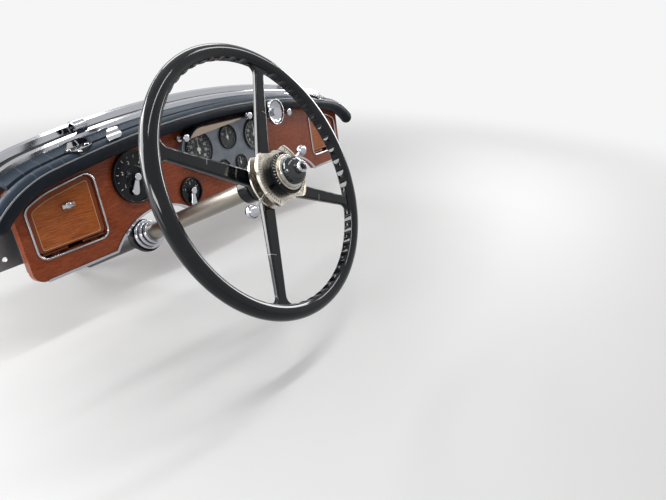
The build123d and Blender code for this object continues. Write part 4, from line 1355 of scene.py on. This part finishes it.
@dataclass
class Wheel:
    """Rim and spider, with the controls that stay still above the hub."""

    shop: Workshop
    ring_reach: float = 33.4
    ring_level: float = 45.0
    ring_start: float = 10.0
    ring_step: float = 18.0
    number_size: float = 6.2
    number_depth: float = 0.15
    bar_size: Triple = (1.3, 3.8, 0.2)
    scale_reach: float = 50.3
    scale_level: float = 31.25
    scale_half_sweep: float = 50.0
    scale_steps: int = 20
    scale_bar_width: float = 1.0
    scale_bar_height: float = 0.2
    long_bar: float = 6.4
    short_bar: float = 3.8
    dome_foot: float = 53.0
    knob_top: float = 79.0

    def build(self) -> None:
        """Dress the wheel and the controls and add their small marks."""
        self.shop.dress("wheel_gloss", "wheel_rim", "wheel_spider")
        self.shop.dress("satin_nickel", "low_quadrant", "high_quadrant", "horn_steps")
        self.shop.dress("black_enamel", "control_ring")
        self.shop.dress("bright_trim", "upper_hand_lever", "lower_hand_lever", "horn_knob")
        self.shop.dress("gunmetal", "horn_dome")
        self.shop.fit(self._ring_marks(), "dial_white", "dash", "needle_white")
        self.shop.fit(self._scale_marks(), "black_enamel", "dash")
        self.shop.fit(self._knob_face(), "black_enamel", "dash")
        self.shop.fit(self._base_ring(), "bright_trim", "dash")

    def _ring_marks(self) -> Piece:
        """Return the numbers and bars printed on the black ring's top face."""
        marks = []
        for index, number in enumerate("012345"):
            turn = self.ring_start + self.ring_step * index
            mark = Bench.text(number, self.number_size, self.number_depth)
            marks.append(self._set_round(mark, turn, self.ring_reach, self.ring_level))
            bar = Bench.block("ring_bar", self.bar_size, MARK_ROUND)
            marks.append(self._set_round(bar, turn + self.ring_step / 2.0, self.ring_reach, self.ring_level))
        return Bench.put(Bench.join(marks, "control_ring_marks"), COLUMN.matrix())

    def _scale_marks(self) -> Piece:
        """Return the plain graduations on the upper quadrant's two lobes."""
        marks = []
        for lobe in (90.0, -90.0):
            for index in range(self.scale_steps + 1):
                turn = lobe + self.scale_half_sweep * (2.0 * index / self.scale_steps - 1.0)
                length = self.long_bar if index % 5 == 0 else self.short_bar
                bar_size = (self.scale_bar_width, length, self.scale_bar_height)
                bar = Bench.block("scale_bar", bar_size, MARK_ROUND)
                reach = self.scale_reach + (self.long_bar - length) / 2.0
                marks.append(self._set_round(bar, turn, reach, self.scale_level))
        return Bench.put(Bench.join(marks, "quadrant_marks"), COLUMN.matrix())

    @staticmethod
    def _set_round(mark: Piece, turn: float, reach: float, level: float) -> Piece:
        """Set a mark upright at a turn from straight up, in degrees, and a radius and level."""
        return Bench.settle(mark, spin(turn) @ Matrix.Translation((0.0, reach, level)))

    def _knob_face(self) -> Piece:
        """Return the dark disc in the middle of the horn's knob."""
        disc = Bench.turned("horn_knob_face", ((5.6, -0.2), (5.6, 0.25), (5.0, 0.6), (3.0, 0.9)), 48)
        return Bench.put(disc, COLUMN.matrix(self.knob_top))

    def _base_ring(self) -> Piece:
        """Return the bright ring round the foot of the horn's dome."""
        profile = ((24.2, 0.0), (26.2, 0.2), (26.8, 1.0), (26.2, 1.9), (24.2, 2.2))
        ring = Bench.turned("horn_base_ring", profile, 96)
        return Bench.put(ring, COLUMN.matrix(self.dome_foot))


@dataclass(frozen=True)
class Lamp:
    """A soft box that faces the dashboard; a card shows only in shiny surfaces."""

    name: str
    place: Triple
    size: Pair
    power: float
    card: bool = False
    target: Triple = (-0.1, -0.15, 0.02)

    def hang(self) -> None:
        """Add the lamp to the scene, out of the camera's sight."""
        lamp = bpy.data.lights.new(self.name, "AREA")
        lamp.shape = "RECTANGLE"
        lamp.size, lamp.size_y = self.size
        lamp.energy = self.power
        holder = bpy.data.objects.new(self.name, lamp)
        holder.visible_camera = False
        holder.visible_diffuse = not self.card
        bpy.context.scene.collection.objects.link(holder)
        aim = (Vector(self.target) - Vector(self.place)).to_track_quat("-Z", "Y")
        holder.matrix_world = Matrix.Translation(self.place) @ aim.to_matrix().to_4x4()


LAMPS = (
    Lamp("key", (-2.1, -0.5, 0.75), (0.8, 0.3), 16.0),
    Lamp("low", (-1.7, 0.6, 0.25), (1.8, 0.8), 14.0),
    Lamp("top", (-0.2, -0.9, 1.9), (1.7, 0.12), 13.0),
    Lamp("left_card", (-1.35, 1.45, 0.9), (1.8, 1.5), 115.0, card=True),
    Lamp("right_card", (1.9, -0.45, 0.65), (1.0, 0.9), 40.0, card=True),
    Lamp("sky_card", (0.8, 0.9, 1.5), (1.4, 0.5), 14.0, card=True),
    Lamp("side", (1.15, -0.85, 1.45), (0.25, 0.9), 9.0),
    Lamp("back", (-0.3, 1.7, 1.3), (1.6, 0.12), 8.0),
)


@dataclass
class Studio:
    """Camera, lamps, floor and background."""

    eye: Triple = (-0.97619, -0.91897, 0.35416)
    right: Triple = (0.50774, -0.86136, 0.01588)
    up: Triple = (0.35492, 0.22594, 0.90718)
    forward: Triple = (0.78500, 0.45497, -0.42044)
    lens: float = 27.71
    sensor: float = 36.0
    near_clip: float = 0.01
    fill: float = 0.34
    backdrop: Colour = (0.92, 0.92, 0.92)
    floor_radius: float = 9.0
    floor_gap: float = 0.003
    fade: Pair = (0.7, 2.6)

    def build(self, low: Vector) -> None:
        """Set the stage under the object's lowest point."""
        scene = bpy.context.scene
        scene.view_settings.view_transform = "Standard"
        self._camera(scene)
        for lamp in LAMPS:
            lamp.hang()
        self._floor(low.z - self.floor_gap)
        self._world(scene)

    def _camera(self, scene: bpy.types.Scene) -> None:
        """Put the camera at the photograph's viewpoint."""
        camera = bpy.data.cameras.new("camera")
        camera.lens = self.lens
        camera.sensor_width = self.sensor
        camera.clip_start = self.near_clip
        stand = bpy.data.objects.new("camera", camera)
        scene.collection.objects.link(stand)
        turn = Matrix((self.right, self.up, tuple(-v for v in self.forward))).transposed()
        stand.matrix_world = Matrix.Translation(self.eye) @ turn.to_4x4()
        scene.camera = stand

    def _floor(self, level: float) -> None:
        """Lay a wide pale floor that fades into the backdrop far from the object."""
        Bench.clear()
        bpy.ops.mesh.primitive_circle_add(
            vertices=96, radius=self.floor_radius, fill_type="NGON", location=(0.0, 0.0, level)
        )
        floor = Bench.name("floor")
        graph = Graph("floor")
        x, y, _ = graph.parts(graph.place())
        mottle = graph.noise(graph.place(), 3.0, 3.0)
        graph.set(Base_Color=graph.mix(mottle, (0.76, 0.76, 0.76), (0.79, 0.79, 0.79)), Roughness=0.7)
        far = (x * x + y * y).root().ramp(*self.fade)
        graph.reveal("ShaderNodeEmission", self.backdrop, far)
        floor.data.materials.append(graph.owner)
        floor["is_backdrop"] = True

    def _world(self, scene: bpy.types.Scene) -> None:
        """Light the scene evenly and show a pale backdrop behind it."""
        graph = WorldGraph("studio")
        graph.set(Strength=self.fill)
        graph.reveal("ShaderNodeBackground", self.backdrop)
        scene.world = graph.owner


def main() -> None:
    """Load the frame, dress it, add the pieces and set the stage."""
    logging.basicConfig(level=logging.INFO, format="%(name)s: %(message)s")
    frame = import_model()
    cad_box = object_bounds()
    shop = Workshop(frame)
    for assembly in (
        Woodwork(shop),
        Instruments(shop),
        Leatherwork(shop),
        SillTrim(shop),
        Column(shop),
        Wheel(shop),
    ):
        assembly.build()
    Studio().build(cad_box[0])


if __name__ == "__main__":
    main()
